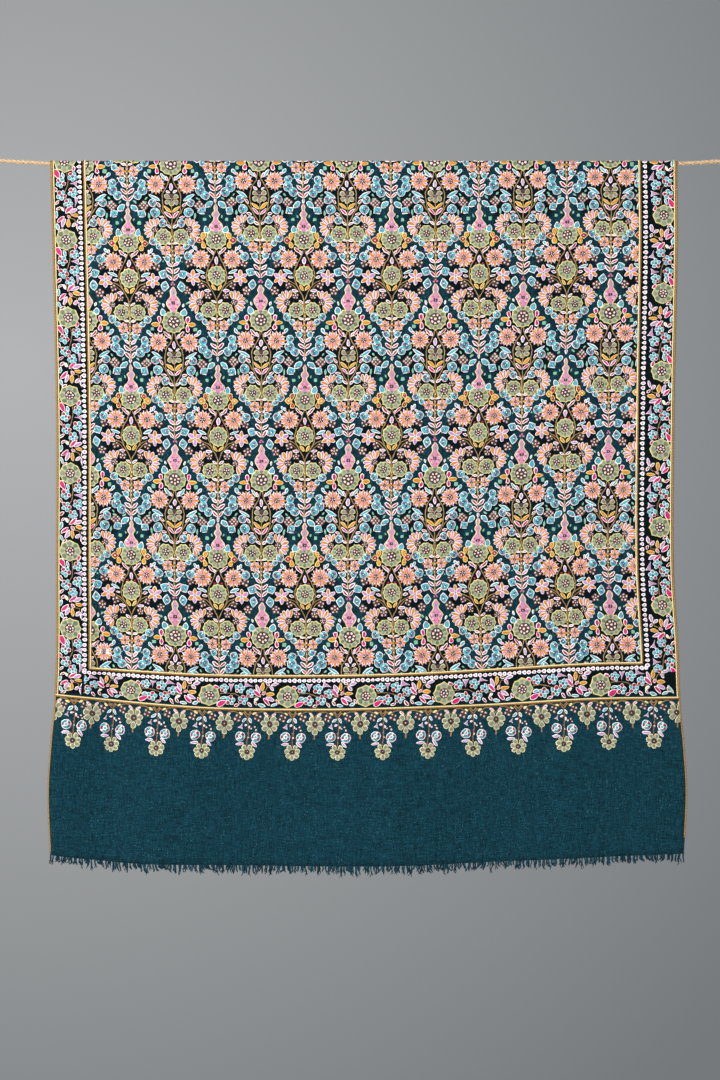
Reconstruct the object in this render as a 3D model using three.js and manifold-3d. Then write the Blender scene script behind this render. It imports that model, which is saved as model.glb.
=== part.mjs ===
// An embroidered pashmina shawl hung over a taut jute twine.
// One woven cloth, 1 m wide and 2 m long, goes over the twine. Its front drop shows, and a shorter one hangs behind.
// Both hems end in a short fringe, gold cord edges the selvedges, and couched cord frames the embroidery.
// Millimetres, +Z up, front towards -Y. The origin is on the twine's centreline, midway along the fold.
import * as THREE from "three";
import { mergeVertices } from "three/addons/utils/BufferGeometryUtils.js";
import Module from "manifold-3d";

const wasm = await Module();
wasm.setup();

// Driving dimensions of the cloth
const clothWidth = 1000;
const clothLength = 2000;
const frontLength = 1112; // front hem to the top of the fold, measured along the cloth
const plainWall = 1.2;
const stitchRelief = 0.5; // how far the embroidered ground stands out from the plain end
const seamGap = 0.3;

// Driving dimensions of the twine and its end loops
const twineRadius = 3;
const knotRadius = 7.5;
const loopRadius = 13;
const loopTail = 22;

// The twine's right half. It is straight inside the fold, and its free end climbs a little.
const twineRoute = [
  { x: 0, z: 0 },
  { x: 125, z: 0 },
  { x: 250, z: 0 },
  { x: 375, z: 0 },
  { x: 480, z: 0 },
  { x: 503, z: 0 },
  { x: 520, z: 1 },
  { x: 545, z: 2.5 },
  { x: 575, z: 4.3 },
  { x: 604, z: 6 },
];
const twineEnd = twineRoute.at(-1);

// Driving dimensions of the trims
const edgingRadius = 1.6;
const edgingProud = 1; // the edging lies this far outside the cloth's middle
const couchedRadius = 1.1;
const hemLine = 248; // hem to the couched line under the border
const fieldLine = 302; // hem to the couched line under the field
const leftFieldLine = 53;
const rightFieldLine = 941;
const edgingStart = { left: 4, right: 28 }; // bare selvedge above the front hem

// Driving dimensions of the fringe
const fringeStripHeight = 3;
const fringeStrands = 120;
const fringeThickness = 1.4;
const strandRootWidth = 4.4;
const strandTipWidth = 1.8;

// Where the two drops hang
const ridgeRadius = twineRadius + seamGap + plainWall / 2;
const ridgeQuarter = (Math.PI / 2) * ridgeRadius;
const layerHalfGap = 2.4; // half the distance between the middles of the two drops
const gapCloses = 40; // the drops draw together over this depth below the twine

// The selvedges: x of each edge at a depth below the twine.
// Stitching draws the cloth in, and the plain end flares.
const frontEdges = [
  { below: 0, left: -502, right: 498 },
  { below: 125, left: -499, right: 499 },
  { below: 400, left: -493, right: 494 },
  { below: 780, left: -493, right: 500 },
  { below: 870, left: -496, right: 503 },
  { below: 930, left: -502, right: 509 },
  { below: 1010, left: -507, right: 516 },
  { below: 1110, left: -505, right: 513 },
];
const backEdges = [
  { below: 0, left: -502, right: 498 },
  { below: 125, left: -498, right: 497 },
  { below: 400, left: -491, right: 491 },
  { below: 600, left: -489, right: 492 },
  { below: 720, left: -488, right: 495 },
  { below: 890, left: -492, right: 499 },
];

// How far the weft sags at the line under the field, at the line under the border, and at the hem
const weftSag = [
  { across: 0, atField: 0, atBorder: -8, atHem: 0 },
  { across: 120, atField: 8, atBorder: 4, atHem: 13 },
  { across: 260, atField: 15, atBorder: 14, atHem: 16 },
  { across: 420, atField: 16, atBorder: 16, atHem: 18 },
  { across: 560, atField: 13, atBorder: 13, atHem: 17 },
  { across: 700, atField: 6, atBorder: 8, atHem: 11 },
  { across: 850, atField: -3, atBorder: -1, atHem: 4 },
  { across: 1000, atField: -5, atBorder: -3, atHem: -1 },
];

// Soft folds that both drops share. A positive depth is a trough seen from the front.
const sharedFolds = [
  { across: 25, depth: -5, halfWidth: 34, starts: 420, full: 1100 },
  { across: 82, depth: 10, halfWidth: 36, starts: 380, full: 1110 },
  { across: 190, depth: -4, halfWidth: 62, starts: 250, full: 1000 },
  { across: 330, depth: 4, halfWidth: 70, starts: 520, full: 1110 },
  { across: 520, depth: -5, halfWidth: 95, starts: 180, full: 900 },
  { across: 690, depth: 5, halfWidth: 68, starts: 430, full: 1110 },
  { across: 815, depth: -5, halfWidth: 54, starts: 300, full: 1050 },
  { across: 905, depth: 6, halfWidth: 40, starts: 560, full: 1110 },
  { across: 1000, depth: 13, halfWidth: 46, starts: 480, full: 1110 },
];

// Folds of the back drop alone, which swing it away from the front one
const backFolds = [
  { across: 150, depth: 9, halfWidth: 60, starts: 380, full: 880 },
  { across: 430, depth: 6, halfWidth: 85, starts: 420, full: 880 },
  { across: 700, depth: 10, halfWidth: 65, starts: 350, full: 880 },
  { across: 930, depth: 7, halfWidth: 50, starts: 450, full: 880 },
];

// How finely the solids are cut
const wallColumns = 30;
const dropPitch = 66;
const ridgeSteps = 4;
const twineSteps = 60;

// A column's value at a place, on a smooth curve through the table's rows
function fromTable(rows, placeName, valueName, place) {
  const last = rows.length - 1;
  const at = Math.min(Math.max(place, rows[0][placeName]), rows[last][placeName]);
  let i = 0;
  while (i < last - 1 && at > rows[i + 1][placeName]) i += 1;
  const slope = (k) => {
    const before = rows[Math.max(k - 1, 0)];
    const after = rows[Math.min(k + 1, last)];
    return (after[valueName] - before[valueName]) / (after[placeName] - before[placeName]);
  };
  const step = rows[i + 1][placeName] - rows[i][placeName];
  const t = (at - rows[i][placeName]) / step;
  return (
    rows[i][valueName] * (1 + 2 * t) * (1 - t) ** 2 +
    rows[i + 1][valueName] * t * t * (3 - 2 * t) +
    step * t * (1 - t) * (slope(i) * (1 - t) - slope(i + 1) * t)
  );
}

// How far a table of folds moves the cloth along Y
function foldDepth(folds, across, below) {
  return folds.reduce((sum, fold) => {
    const grown = THREE.MathUtils.smoothstep(below, fold.starts, fold.full);
    const away = (across - fold.across) / fold.halfWidth;
    return sum + fold.depth * grown * Math.exp(-away * away);
  }, 0);
}

// How much lower than its depth a point of the weft lies, from none at the twine to the most at the hem
function sagAt(across, below, dropLength) {
  const sagOf = (level) => fromTable(weftSag, "across", level, across);
  const levels = [
    { below: 0, sag: 0 },
    { below: dropLength - fieldLine, sag: sagOf("atField") },
    { below: dropLength - hemLine, sag: sagOf("atBorder") },
    { below: dropLength, sag: sagOf("atHem") },
  ];
  return fromTable(levels, "below", "sag", below);
}

// The middle of the cloth. across runs from the left selvedge to the right one,
// and along runs from the front hem over the twine to the back hem.
function clothMiddle(across, along) {
  const past = along - frontLength;
  const front = past < 0;
  const below = Math.max(Math.abs(past) - ridgeQuarter, 0);
  const edges = front ? frontEdges : backEdges;
  const left = fromTable(edges, "below", "left", below);
  const right = fromTable(edges, "below", "right", below);
  const x = left + ((right - left) * across) / clothWidth;
  if (below === 0) {
    const turn = past / ridgeRadius;
    return new THREE.Vector3(x, ridgeRadius * Math.sin(turn), ridgeRadius * Math.cos(turn));
  }
  const dropLength = (front ? frontLength : clothLength - frontLength) - ridgeQuarter;
  const closing = Math.exp(-((below / gapCloses) ** 2));
  const halfGap = layerHalfGap + (ridgeRadius - layerHalfGap) * closing;
  const shared = foldDepth(sharedFolds, across, below);
  const y = front ? shared - halfGap : shared + halfGap + foldDepth(backFolds, across, below);
  return new THREE.Vector3(x, y, -below - sagAt(across, below, dropLength));
}

// A point off the cloth: lift is outward from the middle of the wall, square to it
function offCloth(across, along, lift) {
  const probe = 0.5;
  const fromLeft = clothMiddle(Math.max(across - probe, 0), along);
  const toRight = clothMiddle(Math.min(across + probe, clothWidth), along);
  const low = clothMiddle(across, Math.max(along - probe, 0));
  const high = clothMiddle(across, Math.min(along + probe, clothLength));
  const outward = toRight.sub(fromLeft).cross(high.sub(low)).normalize();
  return clothMiddle(across, along).addScaledVector(outward, lift);
}

// How far the wall's outer face lies from its middle: further on the embroidered ground than on the plain ends
function outerLift(along) {
  const fromHem = Math.min(along, clothLength - along);
  return plainWall / 2 + (fromHem > hemLine ? stitchRelief : 0);
}

// Evenly spaced places from one end to the other, no further apart than the pitch
function stations(from, to, pitch) {
  const steps = Math.max(1, Math.round(Math.abs(to - from) / pitch));
  return Array.from({ length: steps + 1 }, (_, i) => from + ((to - from) * i) / steps);
}

// The places along one drop at which its wall is cut, from the hem line to the top of the fold
function dropStations(hem, ridge) {
  const up = Math.sign(ridge - hem);
  const relief = hem + up * hemLine;
  const arcFoot = ridge - up * ridgeQuarter;
  const closing = arcFoot - up * 2 * gapCloses;
  return [
    ...stations(hem, relief - up, dropPitch),
    ...stations(relief + up, closing, dropPitch),
    ...stations(closing, arcFoot, gapCloses / 2).slice(1),
    ...stations(arcFoot, ridge - (up * seamGap) / 2, ridgeQuarter / ridgeSteps).slice(1),
  ];
}

// A mesh from its points and the corner numbers of its triangles
function indexedGeometry(points, faces) {
  const geometry = new THREE.BufferGeometry();
  geometry.setAttribute(
    "position",
    new THREE.Float32BufferAttribute(
      points.flatMap((p) => [p.x, p.y, p.z]),
      3,
    ),
  );
  geometry.setIndex(faces);
  return geometry;
}

// A closed mesh from rows of points that each go round once, with its two ends closed by fans
function solidFromRings(rings) {
  const around = rings[0].length;
  const faces = [];
  for (let r = 0; r < rings.length - 1; r += 1) {
    for (let i = 0; i < around; i += 1) {
      const a = r * around + i;
      const b = r * around + ((i + 1) % around);
      faces.push(a, b, b + around, a, b + around, a + around);
    }
  }
  const top = (rings.length - 1) * around;
  for (let i = 1; i < around - 1; i += 1) {
    faces.push(0, i + 1, i, top, top + i, top + i + 1);
  }
  return indexedGeometry(rings.flat(), faces);
}

// One drop of the cloth as a wall between an outer face, raised where it is embroidered, and a plain inner one
function dropWall(hem, ridge) {
  const columns = stations(0, clothWidth, clothWidth / wallColumns);
  const places = dropStations(hem, ridge);
  if (hem > ridge) places.reverse();
  return solidStrip(
    places.map((along) => ({
      outer: columns.map((across) => offCloth(across, along, outerLift(along))),
      inner: columns.map((across) => offCloth(across, along, -plainWall / 2)),
    })),
  );
}

// A closed wall from rows that each hold an outer and an inner line of points
function solidStrip(rows) {
  const count = rows[0].outer.length;
  const outer = (r, i) => r * 2 * count + i;
  const inner = (r, i) => r * 2 * count + count + i;
  const faces = [];
  const quad = (a, b, c, d) => faces.push(a, b, c, a, c, d);
  const last = rows.length - 1;
  for (let r = 0; r < last; r += 1) {
    for (let i = 0; i < count - 1; i += 1) {
      quad(outer(r, i), outer(r, i + 1), outer(r + 1, i + 1), outer(r + 1, i));
      quad(inner(r, i), inner(r + 1, i), inner(r + 1, i + 1), inner(r, i + 1));
    }
    quad(outer(r, 0), outer(r + 1, 0), inner(r + 1, 0), inner(r, 0));
    quad(outer(r, count - 1), inner(r, count - 1), inner(r + 1, count - 1), outer(r + 1, count - 1));
  }
  for (let i = 0; i < count - 1; i += 1) {
    quad(outer(0, i), inner(0, i), inner(0, i + 1), outer(0, i + 1));
    quad(outer(last, i), outer(last, i + 1), inner(last, i + 1), inner(last, i));
  }
  return indexedGeometry(
    rows.flatMap((row) => [...row.outer, ...row.inner]),
    faces,
  );
}

// A round cord along points, as rings square to it that turn with it and never twist
function cordAlong(points, radius, sides) {
  let side = new THREE.Vector3(0, 1, 0);
  const rings = points.map((point, i) => {
    const before = points[Math.max(i - 1, 0)];
    const after = points[Math.min(i + 1, points.length - 1)];
    const heading = after.clone().sub(before).normalize();
    side = side.clone().addScaledVector(heading, -side.dot(heading)).normalize();
    const across = heading.clone().cross(side);
    return Array.from({ length: sides }, (_, k) => {
      const turn = (2 * Math.PI * k) / sides;
      return point
        .clone()
        .addScaledVector(side, radius * Math.cos(turn))
        .addScaledVector(across, radius * Math.sin(turn));
    });
  });
  return solidFromRings(rings);
}

// The fringe: a narrow strip just clear of the hem, with strands that grow out of its lower side, all one solid
function fringe(hem) {
  const pitch = clothWidth / fringeStrands;
  const root = seamGap + fringeStripHeight;
  const strands = Array.from({ length: fringeStrands }, (_, i) => ({
    middle: (i + 0.5) * pitch,
    lean: 4 * Math.sin(i * 1.7 + hem) + 2 * Math.sin(i * 0.31),
    length: 23 + 4 * Math.sin(i * 2.3 + 1) + 4 * Math.sin(i * 0.23 + hem),
  }));
  const halfRoot = strandRootWidth / 2;
  const roots = strands.flatMap(({ middle }) => [middle - halfRoot, middle + halfRoot]);
  const columns = [0, ...roots, clothWidth];
  const points = [];
  // A front and a back point below the hem. It gives the front one's number, and the back one's is the next.
  const place = (across, aside, below) => {
    const middle = clothMiddle(across, hem).add(new THREE.Vector3(aside, 0, -below));
    const half = new THREE.Vector3(0, fringeThickness / 2, 0);
    points.push(middle.clone().sub(half), middle.clone().add(half));
    return points.length - 2;
  };
  const faces = [];
  const quad = (a, b, c, d) => faces.push(a, b, c, a, c, d);
  // The faces of a flat bar between two lines, each from its upper point to its lower one
  const bothFaces = (upperLeft, lowerLeft, upperRight, lowerRight) => {
    quad(lowerLeft, lowerRight, upperRight, upperLeft);
    quad(lowerLeft + 1, upperLeft + 1, upperRight + 1, lowerRight + 1);
  };
  const upper = columns.map((across) => place(across, 0, seamGap));
  const lower = columns.map((across) => place(across, 0, root));
  for (let i = 0; i < columns.length - 1; i += 1) {
    bothFaces(upper[i], lower[i], upper[i + 1], lower[i + 1]);
    quad(upper[i], upper[i + 1], upper[i + 1] + 1, upper[i] + 1);
    const strand = i % 2 === 1 ? strands[(i - 1) / 2] : null;
    if (!strand) {
      quad(lower[i], lower[i] + 1, lower[i + 1] + 1, lower[i + 1]);
      continue;
    }
    const tipLeft = place(strand.middle, strand.lean - strandTipWidth / 2, root + strand.length);
    const tipRight = place(strand.middle, strand.lean + strandTipWidth / 2, root + strand.length);
    bothFaces(lower[i], tipLeft, lower[i + 1], tipRight);
    quad(lower[i], lower[i] + 1, tipLeft + 1, tipLeft);
    quad(lower[i + 1], tipRight, tipRight + 1, lower[i + 1] + 1);
    quad(tipLeft, tipLeft + 1, tipRight + 1, tipRight);
  }
  const end = columns.length - 1;
  quad(upper[0], upper[0] + 1, lower[0] + 1, lower[0]);
  quad(upper[end], lower[end], lower[end] + 1, upper[end] + 1);
  return indexedGeometry(points, faces);
}

// The gold edging on one selvedge, from above the front hem over the fold to the back hem
function edging(across, start) {
  const outX = Math.sign(across - clothWidth / 2) * (edgingRadius + seamGap);
  const up = dropStations(0, frontLength).filter((along) => along > start);
  const down = dropStations(clothLength, frontLength).slice(1, -1).reverse();
  const places = [start, ...up, ...down, clothLength - edgingStart.left];
  return cordAlong(
    places.map((along) => offCloth(across, along, edgingProud).add(new THREE.Vector3(outX, 0, 0))),
    edgingRadius,
    6,
  );
}

// The last of some rising places that is not past a given place, and how far on to the next one it lies
function bracket(places, place) {
  let i = 0;
  while (i < places.length - 2 && place > places[i + 1]) i += 1;
  return { i, t: (place - places[i]) / (places[i + 1] - places[i]) };
}

// A couched cord laid on one drop's outer face, through corners given as [across, up from the hem]
function couchedCord(hem, corners) {
  const up = Math.sign(frontLength - hem);
  const columns = stations(0, clothWidth, clothWidth / wallColumns);
  const rows = dropStations(hem, frontLength).map((along) => (along - hem) * up);
  const lift = seamGap + couchedRadius;
  const onCorner = (column, row) => {
    const along = hem + up * rows[row];
    return offCloth(columns[column], along, outerLift(along) + lift);
  };
  const onWall = ([across, fromHem]) => {
    const { i, t } = bracket(columns, across);
    const { i: row, t: rise } = bracket(rows, fromHem);
    const lower = onCorner(i, row).lerp(onCorner(i + 1, row), t);
    return lower.lerp(onCorner(i, row + 1).lerp(onCorner(i + 1, row + 1), t), rise);
  };
  const places = corners.slice(1).flatMap(([across, fromHem], leg) => {
    const [startAcross, startFromHem] = corners[leg];
    const between = (list, from, to) => list.filter((at) => (at - from) * (at - to) < 0);
    const crossings = [
      ...between(columns, startAcross, across).map((at) => (at - startAcross) / (across - startAcross)),
      ...between(rows, startFromHem, fromHem).map((at) => (at - startFromHem) / (fromHem - startFromHem)),
    ];
    return [0, ...crossings.sort((one, other) => one - other)].map((t) => [
      THREE.MathUtils.lerp(startAcross, across, t),
      THREE.MathUtils.lerp(startFromHem, fromHem, t),
    ]);
  });
  return cordAlong([...places, corners.at(-1)].map(onWall), couchedRadius, 5);
}

// The cord round the field on one drop: down one side, across above the border, and up the other side
function fieldCord(hem) {
  const top = Math.abs(frontLength - hem) - ridgeQuarter - 1;
  const corner = 3;
  return couchedCord(hem, [
    [leftFieldLine, top],
    [leftFieldLine, fieldLine + corner],
    [leftFieldLine + corner, fieldLine],
    [rightFieldLine - corner, fieldLine],
    [rightFieldLine, fieldLine + corner],
    [rightFieldLine, top],
  ]);
}

// The cord across one drop between the border and the plain end
function hemCord(hem) {
  return couchedCord(hem, [
    [2, hemLine],
    [clothWidth - 2, hemLine],
  ]);
}

// The twine, from its left end through the fold to its right end
function twine() {
  const right = twineRoute.map(({ x, z }) => new THREE.Vector3(x, 0, z));
  const left = twineRoute.slice(1).map(({ x, z }) => new THREE.Vector3(-x, 0, z));
  const route = new THREE.CatmullRomCurve3([...left.reverse(), ...right]);
  const section = new THREE.Shape().absarc(0, 0, twineRadius, 0, 2 * Math.PI);
  return new THREE.ExtrudeGeometry(section, { steps: twineSteps, curveSegments: 5, extrudePath: route });
}

// A closed three.js geometry as a solid that can be joined
function asSolid(geometry) {
  const bare = geometry.index ? geometry.toNonIndexed() : geometry.clone();
  bare.deleteAttribute("normal");
  bare.deleteAttribute("uv");
  const merged = mergeVertices(bare, 1e-3);
  return new wasm.Manifold(
    new wasm.Mesh({
      numProp: 3,
      vertProperties: merged.getAttribute("position").array,
      triVerts: new Uint32Array(merged.index.array),
    }),
  );
}

function asGeometry(solid) {
  const mesh = solid.getMesh();
  const geometry = new THREE.BufferGeometry();
  geometry.setAttribute("position", new THREE.BufferAttribute(mesh.vertProperties, 3));
  geometry.setIndex(new THREE.BufferAttribute(mesh.triVerts, 1));
  return geometry;
}

// A knot, the loop that goes on a hook, and the short tail, at one end of the twine. side is -1 on the left.
function endLoop(side) {
  const knotX = twineEnd.x + seamGap + knotRadius;
  const knot = new THREE.SphereGeometry(knotRadius, 12, 8);
  const eye = new THREE.TorusGeometry(loopRadius, twineRadius, 8, 22);
  eye.translate(side * (knotRadius + loopRadius - 1), 0, 0);
  eye.rotateX(Math.PI / 2);
  const tailRoute = [
    new THREE.Vector3(0, 0, 0),
    new THREE.Vector3(-4 * side, 0, -loopTail / 2),
    new THREE.Vector3(-6 * side, 0, -loopTail),
  ];
  const tail = cordAlong(tailRoute, twineRadius * 0.9, 8);
  [knot, eye, tail].forEach((piece) => piece.translate(side * knotX, 0, twineEnd.z));
  return asGeometry(asSolid(knot).add(asSolid(eye)).add(asSolid(tail)));
}

const finishes = {
  pashmina: { color: 0x17424f, roughness: 0.9, metalness: 0 },
  fringe: { color: 0x143c49, roughness: 0.95, metalness: 0 },
  goldCord: { color: 0xc29a46, roughness: 0.6, metalness: 0 },
  jute: { color: 0xc9aa7e, roughness: 0.95, metalness: 0 },
};

const part = new THREE.Group();

function addPiece(name, geometry, finish) {
  const mesh = new THREE.Mesh(geometry, new THREE.MeshStandardMaterial(finishes[finish]));
  mesh.name = name;
  mesh.geometry.computeVertexNormals();
  part.add(mesh);
}

addPiece("front_drop", dropWall(0, frontLength), "pashmina");
addPiece("back_drop", dropWall(clothLength, frontLength), "pashmina");
addPiece("fringe_front", fringe(0), "fringe");
addPiece("fringe_back", fringe(clothLength), "fringe");
addPiece("edging_left", edging(0, edgingStart.left), "goldCord");
addPiece("edging_right", edging(clothWidth, edgingStart.right), "goldCord");
addPiece("field_cord_front", fieldCord(0), "goldCord");
addPiece("field_cord_back", fieldCord(clothLength), "goldCord");
addPiece("hem_cord_front", hemCord(0), "goldCord");
addPiece("hem_cord_back", hemCord(clothLength), "goldCord");
addPiece("twine", twine(), "jute");
addPiece("twine_loop_left", endLoop(-1), "jute");
addPiece("twine_loop_right", endLoop(1), "jute");

export default part;
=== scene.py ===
import math

import bpy
import numpy as np
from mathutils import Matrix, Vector


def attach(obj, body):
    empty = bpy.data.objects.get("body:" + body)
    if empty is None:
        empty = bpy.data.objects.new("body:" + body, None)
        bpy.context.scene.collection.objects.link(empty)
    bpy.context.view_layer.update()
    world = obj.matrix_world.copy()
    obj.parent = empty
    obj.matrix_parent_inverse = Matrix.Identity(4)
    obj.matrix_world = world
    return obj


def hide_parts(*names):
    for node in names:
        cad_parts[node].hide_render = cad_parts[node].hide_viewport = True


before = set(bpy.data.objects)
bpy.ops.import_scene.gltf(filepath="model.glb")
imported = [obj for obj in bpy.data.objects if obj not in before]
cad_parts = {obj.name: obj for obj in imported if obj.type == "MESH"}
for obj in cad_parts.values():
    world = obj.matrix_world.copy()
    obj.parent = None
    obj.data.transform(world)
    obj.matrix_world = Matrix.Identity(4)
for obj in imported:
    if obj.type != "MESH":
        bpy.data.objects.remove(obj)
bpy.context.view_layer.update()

# The view
# The shawl is seen square on from 5 m away, as in the photograph, which is 1.152 m wide and 1.728 m high
# at the cloth. Every size below is in millimetres, as on a maker's chart, and MM turns it to metres.
MM = 0.001
view_distance = 5000
view_centre = (-8, -602)
view_height = 1728
film_height = 36

camera_data = bpy.data.cameras.new("camera")
camera_data.sensor_width = film_height
camera_data.lens = film_height * view_distance / view_height
camera = bpy.data.objects.new("camera", camera_data)
camera.location = (view_centre[0] * MM, -view_distance * MM, view_centre[1] * MM)
camera.rotation_euler = (math.radians(90), 0, 0)
bpy.context.scene.collection.objects.link(camera)
bpy.context.scene.camera = camera
bpy.context.scene.view_settings.view_transform = "Standard"


# The twine
# A taut two-ply jute twine carries the shawl. The plies are spun from rough fibre and twisted together,
# and each end is knotted into a loop that goes on a hook outside the picture.
plies = 2
ply_radius = 1.66
ply_offset = 1.4
ply_lay = 15
ply_sides = 9
twine_half = (
    # x, z
    (0, 0),
    (125, 0),
    (250, 0),
    (375, 0),
    (480, 0),
    (503, 0),
    (520, 1),
    (545, 2.5),
    (575, 4.3),
    (604, 6),
)
twine_route = [(-x, 0, z) for x, z in reversed(twine_half[1:])] + [(x, 0, z) for x, z in twine_half]
twine_rise = twine_half[-1][1]
shawl_clears_x = 507
fibre_ends = 520
fibre_radius = 0.07
fibre_root = 2.5
knot_centre_x = twine_half[-1][0] + 7.8
knot_reach = 7.5
coil_turns = 3
coil_radius = 4.1
coil_half_length = 5.4
loop_radius = 13


def make_object(name, points, faces, material):
    """An object from points in millimetres and faces that are lists of point numbers."""
    mesh = bpy.data.meshes.new(name)
    places = np.asarray(points, dtype=np.float64) * MM
    faces = np.asarray(faces, dtype=np.int64)
    corners = faces.shape[1]
    mesh.vertices.add(len(places))
    mesh.vertices.foreach_set("co", places.ravel())
    mesh.loops.add(faces.size)
    mesh.loops.foreach_set("vertex_index", faces.ravel())
    mesh.polygons.add(len(faces))
    mesh.polygons.foreach_set("loop_start", np.arange(0, faces.size, corners))
    mesh.polygons.foreach_set("use_smooth", np.ones(len(faces), dtype=bool))
    mesh.update(calc_edges=True)
    mesh.validate()
    mesh.materials.append(material)
    made = bpy.data.objects.new(name, mesh)
    bpy.context.scene.collection.objects.link(made)
    return made


def smooth_route(points, pitch):
    """Points along a smooth curve through a few given ones, about a pitch apart."""
    knots = np.asarray(points, dtype=float)
    padded = np.vstack([2 * knots[0] - knots[1], knots, 2 * knots[-1] - knots[-2]])
    route = []
    for i in range(len(knots) - 1):
        before, start, end, after = padded[i : i + 4]
        steps = max(1, round(np.linalg.norm(end - start) / pitch))
        for t in np.arange(steps) / steps:
            route.append(
                0.5
                * (
                    2 * start
                    + (end - before) * t
                    + (2 * before - 5 * start + 4 * end - after) * t**2
                    + (3 * start - before - 3 * end + after) * t**3
                )
            )
    route.append(knots[-1])
    return np.array(route)


def frames_along(route):
    """Two directions square to a route at each of its points, which turn with it and never twist."""
    heading = np.gradient(route, axis=0)
    heading /= np.linalg.norm(heading, axis=1, keepdims=True)
    side = np.array([0.0, 1.0, 0.0])
    if abs(heading[0] @ side) > 0.9:
        side = np.array([1.0, 0.0, 0.0])
    sides = []
    for direction in heading:
        side = side - direction * (direction @ side)
        side = side / np.linalg.norm(side)
        sides.append(side)
    sides = np.array(sides)
    return sides, np.cross(heading, sides)


def tube(route, radius, around):
    """Points and faces of a closed round tube. radius is one number, or one for each point of the route."""
    sides, ups = frames_along(route)
    radii = np.broadcast_to(np.asarray(radius, dtype=float), len(route))[:, None, None]
    turns = 2 * np.pi * np.arange(around) / around
    rings = route[:, None] + radii * (
        np.cos(turns)[None, :, None] * sides[:, None] + np.sin(turns)[None, :, None] * ups[:, None]
    )
    points = np.concatenate([rings.reshape(-1, 3), route[:1], route[-1:]])
    number = np.arange(len(route) * around).reshape(len(route), around)
    following = np.roll(number, -1, axis=1)
    walls = np.stack([number[:-1], following[:-1], following[1:], number[1:]], axis=-1).reshape(-1, 4)
    faces = np.concatenate([walls[:, [0, 1, 2]], walls[:, [0, 2, 3]]])
    first, last = len(points) - 2, len(points) - 1
    caps = [(first, following[0, k], number[0, k]) for k in range(around)]
    caps += [(last, number[-1, k], following[-1, k]) for k in range(around)]
    return points, np.concatenate([faces, np.array(caps)])


def joined(parts):
    """One set of points and faces from several."""
    points, faces, start = [], [], 0
    for part_points, part_faces in parts:
        points.append(part_points)
        faces.append(part_faces + start)
        start += len(part_points)
    return np.concatenate(points), np.concatenate(faces)


def twisted(points, pitch):
    """The plies of a twisted cord along a route, each swelling and thinning a little as spun fibre does."""
    route = smooth_route(points, pitch)
    sides, ups = frames_along(route)
    run = np.concatenate([[0], np.cumsum(np.linalg.norm(np.diff(route, axis=0), axis=1))])
    parts = []
    for ply in range(plies):
        turn = 2 * np.pi * (run / ply_lay + ply / plies)
        swell = 1 + 0.06 * np.sin(run * 0.9 + 2 * ply) + 0.05 * np.sin(run * 0.37 + 5 * ply)
        middle = route + ply_offset * (np.cos(turn)[:, None] * sides + np.sin(turn)[:, None] * ups)
        parts.append(tube(middle, ply_radius * swell, ply_sides))
    return joined(parts)


def new_material(name, roughness, specular=0.3, sheen=0.0):
    """A material with an empty Principled shader, and its node tree."""
    material = bpy.data.materials.new(name)
    material.use_nodes = True
    nodes = material.node_tree.nodes
    shader = nodes["Principled BSDF"]
    shader.inputs["Roughness"].default_value = roughness
    shader.inputs["Specular IOR Level"].default_value = specular
    shader.inputs["Sheen Weight"].default_value = sheen
    return material, material.node_tree, shader


def socket_group(name, inputs, outputs):
    """An empty shader node group with named sockets. Each is a name, a socket type and a default."""
    group = bpy.data.node_groups.new(name, "ShaderNodeTree")
    for label, kind, default in inputs:
        socket = group.interface.new_socket(name=label, in_out="INPUT", socket_type=kind)
        socket.default_value = default
    for label, kind in outputs:
        group.interface.new_socket(name=label, in_out="OUTPUT", socket_type=kind)
    return group, group.nodes.new("NodeGroupInput"), group.nodes.new("NodeGroupOutput")


def add_node(tree, kind, inputs=None, **settings):
    """A node with some of its input sockets and properties set."""
    node = tree.nodes.new(kind)
    for setting, value in settings.items():
        setattr(node, setting, value)
    for socket, value in (inputs or {}).items():
        node.inputs[socket].default_value = value
    return node


def linear(red, green, blue):
    """A colour seen on a screen, 0 to 255, as the light that it stands for."""
    return tuple((level / 255) ** 2.2 for level in (red, green, blue)) + (1.0,)


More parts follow.
